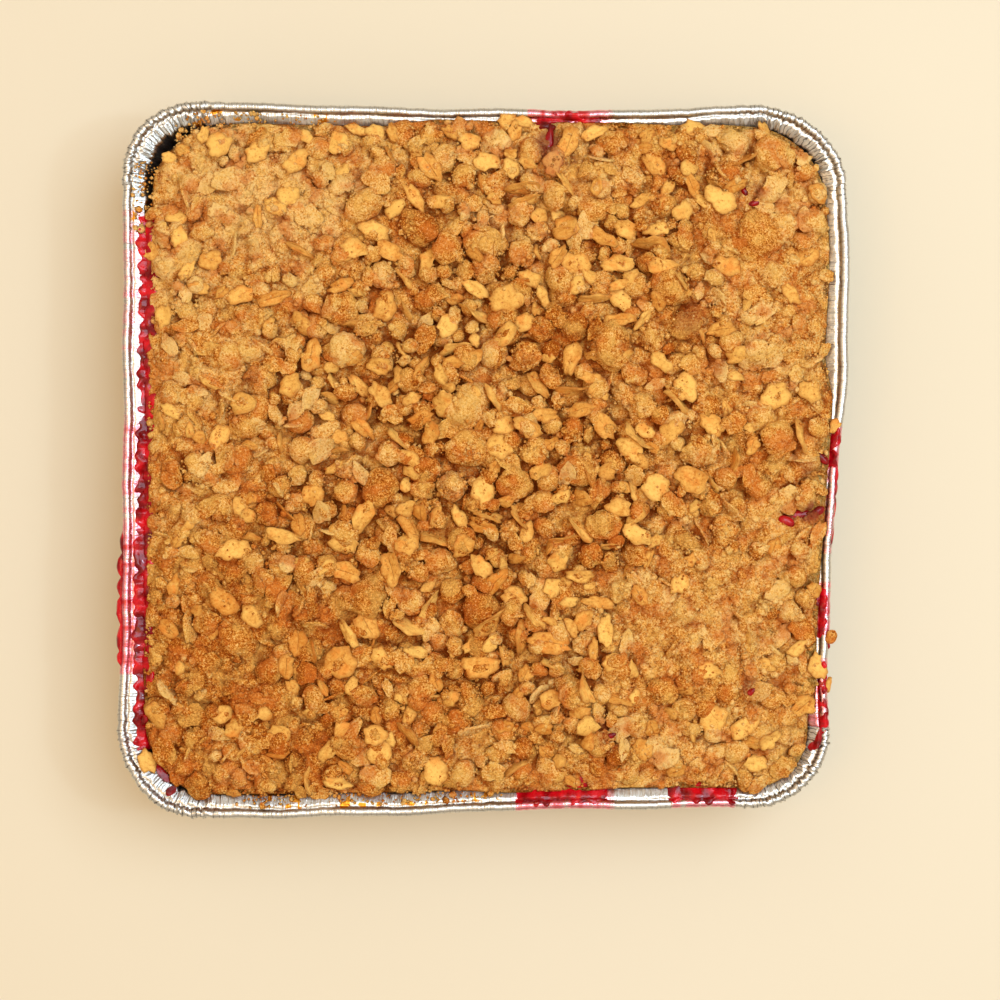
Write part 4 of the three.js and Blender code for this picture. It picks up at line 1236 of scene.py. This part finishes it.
# The flakes' own points around the origin: an oval with waves and nicks in its outline, domed or
# dished a little both ways, rippled, and turned to its direction and tilt.
def flakeShapes(sides, rings, shape, rng):
    template, faces = flakeTemplate(sides, rings)
    angle, reach, side = template.T
    count = len(shape["long"])
    phase = rng.uniform(0, 6.28, (4, count, 1))
    waves = zip((0.04, 0.07, 0.07, 0.06), (2, 3, 5, 7), phase)
    ragged = 1 + sum(size * np.cos(k * angle + p) for size, k, p in waves)
    nicks = np.tile(rng.normal(size=(count, sides)), len(rings)) * 1.0 / sides
    ragged = ragged + np.pad(nicks, ((0, 0), (1, 1)))
    x, y = reach * np.cos(angle), reach * np.sin(angle)
    uv = np.tile(np.stack([x, y], axis=-1), (count, 1))
    x, y = x * ragged, y * ragged
    thick = flakes["thick"] * rng.uniform(0.75, 1.3, (count, 1))
    curl = rng.uniform(-0.10, 0.17, (2, count, 1))
    twist = 0.13 * rng.normal(size=(count, 1))
    ripple = 0.07 * np.sin(3 * x + phase[0]) * np.sin(3 * y + phase[1])
    ripple = ripple - 0.05 * np.exp(-(y / 0.16) ** 2) * (side > 0)    # a faint groove down the top
    height = side * thick + shape["long"] * (curl[0] * x ** 2 + curl[1] * y ** 2 + twist * x * y + ripple)
    local = np.stack([*turned(x * shape["long"], y * shape["wide"], shape["turn"]), height], axis=-1)
    return tilted(local, shape["tiltU"][:, 0], shape["tiltV"][:, 0]), uv, faces


# Turns shapes so that their flat side follows a slope: a true rotation of +Z to the slope's normal.
def tilted(shapes, tiltU, tiltV):
    normal = np.stack([-tiltU, -tiltV, np.ones_like(tiltU)], axis=-1)
    normal /= np.linalg.norm(normal, axis=1, keepdims=True)
    axis = np.cross((0.0, 0.0, 1.0), normal)
    sine = np.linalg.norm(axis, axis=1, keepdims=True)
    axis = (axis / np.maximum(sine, 1e-9))[:, None, :]
    cosine, sine = normal[:, 2][:, None, None], sine[:, :, None]
    along = (shapes * axis).sum(axis=-1, keepdims=True)
    return shapes * cosine + np.cross(axis, shapes) * sine + axis * along * (1 - cosine)


# How many of each, and radius from and to; sandGrains lie where the topping is sandy.
crumbs = {
    "looseCrumbs": (7000, 0.45, 1.5), "grainsOne": (22000, 0.22, 0.52), "grainsTwo": (22000, 0.22, 0.52),
    "sandGrains": (22000, 0.38, 0.8),
}


# Loose crumbs and fine grains over everything, few on clean flakes.
def makeCrumbs():
    rng = np.random.default_rng(67)
    for name, (count, small, large) in crumbs.items():
        power = 2.0 if name == "looseCrumbs" else 1.0
        u, v = rng.uniform(-98, 98, (2, count))
        room = roomAt(u, v)
        clean = ground.at(u, v, ground.clean)
        spilt = (room > -6) & (insetOf(u, v) > 3.2) & (rng.random(count) < 0.5 * amberAt(u, v))
        keep = ((room > 0.6) | spilt) & (rng.random(count) > (0.97 if power > 1 else 0.7) * clean)
        if name == "sandGrains":
            keep &= rng.random(count) < 0.12 + 0.88 * sandiness(u, v)
        u, v = u[keep], v[keep]
        radius = randomSizes(rng, len(u), small, large, power)
        z = ground.at(u, v) - 0.15 * radius
        shapes, faces = lumpyBalls(len(u), 0, 0.16, 0.85, 68) if power > 1 else grainShapes(len(u), rng)
        points = shapes * radius[:, None, None] + place(u, v, z)[:, None, :]
        values = {"toast": np.clip(toastAndCrackShadeAt(u, v) - 0.08 + 0.16 * rng.normal(size=len(u)), 0, 1),
                  "stain": stainAt(u, v), "tone": rng.random(len(u))}
        piece = makeMany(name, points, [faces], crumb, spread(values, shapes.shape[1]))


# Eight-sided grains: six points pushed about at random.
def grainShapes(count, rng):
    points = np.array([(1, 0, 0), (0, 1, 0), (-1, 0, 0), (0, -1, 0), (0, 0, 1), (0, 0, -1)], dtype=float)
    faces = np.array([(i, (i + 1) % 4, 4) for i in range(4)] + [((i + 1) % 4, i, 5) for i in range(4)])
    return points[None] * rng.uniform(0.7, 1.2, (count, 6, 1)), faces


# Height at which a point inside the bead clears the foil's folds.
def overFoil(u, v, z):
    inset = insetOf(u, v)
    foilTop = rimHeight(inset - 0.6 - 1.4 * nearCorner(u, v))
    return np.where(inset > 1.5, np.maximum(z, foilTop + 0.1), z)


# How deep each point of the topping lies in a hollow, from 0 to 1, by which the crumb and flake
# materials paint shade: the height of the averaged surface over the point, half from a wide average and
# half from a narrow one. Points that would reach through the foil are raised onto it.
def markHollowShade():
    wide, narrow = ground.averaged(3.2), ground.averaged(1.2)
    for name in ("crumbCrust", "largeNuggets", "smallNuggets", "markedFlakes", "paleFlakes", "coatedFlakes",
                 *crumbs, "cherryDrops"):
        mesh = bpy.data.objects[name].data
        flat = np.empty(3 * len(mesh.vertices), dtype=np.float32)
        mesh.vertices.foreach_get("co", flat)
        x, y, z = 1000 * flat.reshape(-1, 3).T.astype(float)
        u, v = unplaced(x, y, z)
        z = overFoil(u, v, z)
        flat[2::3] = z / 1000
        mesh.vertices.foreach_set("co", flat)
        mesh.update()
        over = 0.5 * (ground.at(u, v, wide) + ground.at(u, v, narrow)) - z
        layer = mesh.attributes.new("hollow", "FLOAT", "POINT")
        layer.data.foreach_set("value", ease(0.0, 2.2, over).astype(np.float32))


# The rim's section in steps from inside the shoulder, over the bead and down the outer wall: inset
# and height.
rimSection = np.array([
    (7.8, 37.4), (6.8, 38.5), (5.0, 39.2), (3.6, 39.9), (2.8, 39.9), (2.2, 40.4), (1.3, 41.0), (0.35, 40.5),
    (0.0, 39.5), (0.6, 38.0), (1.9, 35.5), (3.4, 29.0), (5.6, 16.0)])


# Inset and height at a step along the rim's section.
def onSection(step):
    return (np.interp(step, np.arange(13), rimSection[:, k]) for k in (0, 1))


# Juice that boiled over: a wet skin carried along a stretch of the rim, over the rim's section. Its
# depth is humped along the rim, in step with the crimps, and fades at its edges, where it dips into
# the foil; a second skin inside the foil closes it.
def makeJuice():
    points, faces, offset = [], [], 0
    for index, (side, start, end, inner, outer, depth, wash) in enumerate(juicePatches):
        first, last = sorted((arcOf(side, start), arcOf(side, end)))
        arc = np.linspace(first, last, int((last - first) / 0.4) + 1)[:, None]
        reach = np.linspace(0, 1, int((outer - inner) * 4) + 4)[None]
        ends = 0.5 + 0.5 * ripples(arc, (61, 97, 149, 233), 30 + index)
        if inner > 6.8:
            ends = ease(-0.9, 0.9, ripples(arc, (29, 53, 89), 30 + index))    # rounded drips
        step = inner + reach * (outer - inner) * (0.72 + 0.28 * ends)
        inset, z = onSection(step)
        ahead, behind = onSection(np.minimum(step + 0.4, 12)), onSection(np.maximum(step - 0.4, 0))
        across, up = (a - b for a, b in zip(ahead, behind))
        length = np.hypot(across, up)
        along = (arc - first) / (last - first)
        fade = np.clip(1 - np.abs(2 * along - 1) ** 6, 0, 1)
        fade = fade * np.clip(1 - np.abs(2 * reach - 1) ** 5, 0, 1) ** 0.6
        ridge = 0.5 + 0.5 * np.sin(2 * math.pi * arc / 2.1 + 2.2 * ripples(arc, (23, 37, 59), 40))
        lumps = 0.5 + 0.5 * hills(arc - first - 20, 1.2 * step, 1.9, 50 + index)
        drops = np.abs(np.sin(math.pi * arc / 6.4 + 1.5 * ripples(arc, (17, 29), 60))) ** 0.7
        outside = ease(6.6, 8.6, step)
        body = mix(0.25 + 0.12 * ridge + 1.05 * lumps, 0.2 + 1.25 * drops, outside)
        for away in (depth * fade * body - 0.2, -0.3):
            u, v = inwards(alongOutline(arc), inset + away * up / length)
            points.append(place(u, v, z - away * across / length).reshape(-1, 3))
        under = step.size
        quads, border = gridFaces(np.arange(under).reshape(step.shape))
        after = np.roll(border, -1)
        walls = np.stack([after, after + under, border + under, border], axis=-1)
        faces += [np.roll(quads, -1, axis=1) + offset, np.roll(quads[:, ::-1], 1, axis=1) + under + offset,
                  walls + offset]
        offset += 2 * under
    piece = makeMesh("boiledJuice", np.concatenate(points), [np.concatenate(faces)], cherry)


# Cherry that broke through or dripped: right, down, length, width and direction in the photograph, in
# pixels and degrees, and how far it stands over what is there, in millimetres.
dropMarks = [
    (806, 516, 42, 16, 8, 0.2), (789, 522, 18, 11, 150, 0.3), (822, 511, 16, 10, 20, 0.3),
    (550, 134, 34, 10, 80, 0.2), (546, 122, 22, 10, 0, 0.3), (166, 795, 11, 10, 0, 0.8),
    (158, 779, 20, 7, 130, 0.3), (152, 770, 16, 6, 120, 0.2), (824, 738, 26, 8, 70, 0.3),
    (818, 748, 14, 8, 40, 0.3), (756, 201, 16, 7, 20, -0.2), (746, 188, 12, 7, 110, -0.3),
    (687, 321, 10, 6, 60, 0.0), (755, 693, 12, 7, 30, -0.2), (610, 737, 14, 6, 20, -0.2),
    (826, 458, 16, 9, 150, 0.0), (140, 722, 12, 8, 80, 0.4), (830, 645, 14, 8, 100, 0.3),
]


# Drops as lumpy balls, stretched to their marks and half sunk.
def makeDrops():
    marks = np.array(dropMarks, dtype=float).T
    u, v = fromPhoto(marks[0], marks[1])
    shapes, faces = lumpyBalls(len(u), 3, 0.12, 1.0, 71)
    shapes = shapes / np.abs(shapes).max(axis=1, keepdims=True)
    long, wide = marks[2:4] * photoView["pixel"] / 2
    shapes = shapes * np.stack([long, wide, 0.7 * wide], axis=-1)[:, None, :]
    shapes[..., 0], shapes[..., 1] = turned(shapes[..., 0], shapes[..., 1], np.radians(marks[4])[:, None])
    z = ground.at(u, v) + marks[5]
    # The drops take the same darkening at a fixed share, as their own darker colour.
    values = {"baked": np.full(shapes.shape[0] * shapes.shape[1], 0.4)}
    piece = makeMany("cherryDrops", shapes + place(u, v, z)[:, None, :], [faces], cherry, values)


makeTray()
print("tray made")
makeFilling()
makeJuice()
print("filling and juice made")
makeCrust()
print("crust made")
makeNuggets()
makeFlakes()
print("nuggets and flakes laid")
makeCrumbs()
makeDrops()
markHollowShade()
print("crumbs scattered")

table = {
    "size": 12000.0, "below": 0.05, "cloudSize": 260.0,    # in millimetres
    "light": tint(223, 212, 190), "dark": tint(220, 208, 184),
}


# A plain pale table top, faintly uneven in colour.
def makeTable():
    material, shader, spot = startMaterial("table", {"Specular IOR Level": 0.1, "Roughness": 0.9})
    attach(shader, "Base Color", mottle(spot, table["cloudSize"]).colours(table["dark"], table["light"]))
    line = np.linspace(-0.5, 0.5, 13) * table["size"]
    x, y = np.meshgrid(line, line, indexing="ij")
    points = np.stack([x, y, 0 * x - table["below"]], axis=-1).reshape(-1, 3) / 1000
    mesh = bpy.data.meshes.new("table")
    mesh.from_pydata(points.tolist(), [], gridFaces(np.arange(x.size).reshape(x.shape))[0].tolist())
    mesh.materials.append(material)
    piece = bpy.data.objects.new("table", mesh)
    bpy.context.scene.collection.objects.link(piece)


# Lights: place in metres, width and length, power in watts, and colour.
lights = {
    "softbox": ((0.38, 0.18, 1.03), 0.60, 0.70, 7.4, (0.67, 0.87, 1.08)),
    "window": ((0.64, 0.0, 1.03), 0.07, 0.07, 1.2, (0.60, 0.82, 1.0)),
    "fill": ((-0.22, -0.05, 1.15), 0.4, 0.6, 2.7, (1.0, 0.52, 0.12)),
}
studio = {
    "strength": 0.98,
    # Colour by the direction's height: pale at the horizon, dim above it, and bright overhead.
    "sky": ((0.0, (0.58, 0.5, 0.4, 1.0)), (0.2, (0.5, 0.41, 0.3, 1.0)), (0.3, (0.3, 0.21, 0.13, 1.0)),
            (0.44, (0.32, 0.23, 0.14, 1.0)), (0.54, (0.93, 0.81, 0.64, 1.0)), (1.0, (0.97, 0.87, 0.71, 1.0))),
}


# A broad softbox over the right, a small crisp window light and a warm fill from the left, in a
# pale studio, and the camera straight above.
def makeStudio():
    for name, (spot, width, length, power, colour) in lights.items():
        light = bpy.data.lights.new(name, "AREA")
        light.shape, light.size, light.size_y = "RECTANGLE", width, length
        light.energy, light.color = power, colour
        lamp = bpy.data.objects.new(name, light)
        lamp.location = spot
        tip = math.acos(spot[2] / math.dist(spot, (0, 0, 0)))    # aimed at the origin
        lamp.rotation_euler = (tip, 0, math.atan2(spot[1], spot[0]) + math.pi / 2)
        bpy.context.scene.collection.objects.link(lamp)

    world = bpy.data.worlds.new("studio")
    world.use_nodes = True
    backdrop = world.node_tree.nodes["Background"]
    where = Wire(world.node_tree).node("ShaderNodeTexCoord")
    patches = where.node("ShaderNodeTexNoise", None, {"Vector": where, "Scale": 4.0, "Detail": 1.0})
    height = where.node("ShaderNodeSeparateXYZ", None, {0: where}, 2)
    level = height + (patches - 0.5) * height.between(0.08, 0.4) * 1.3
    colour = level.node("ShaderNodeValToRGB", {"stops": studio["sky"]}, {0: level})
    world.node_tree.links.new(colour.socket, backdrop.inputs["Color"])
    backdrop.inputs["Strength"].default_value = studio["strength"]
    bpy.context.scene.world = world

    camera = bpy.data.cameras.new("camera")
    camera.sensor_width = 36.0
    camera.lens = camera.sensor_width * photoView["cameraUp"] / (1000 * photoView["pixel"])
    eye = bpy.data.objects.new("camera", camera)
    eye.location = np.array([*photoView["cameraAt"], tray["rim"] + photoView["cameraUp"]]) / 1000
    bpy.context.scene.collection.objects.link(eye)
    bpy.context.scene.camera = eye
    bpy.context.scene.view_settings.view_transform = "Standard"


makeTable()
makeStudio()
print("table, light and camera set")
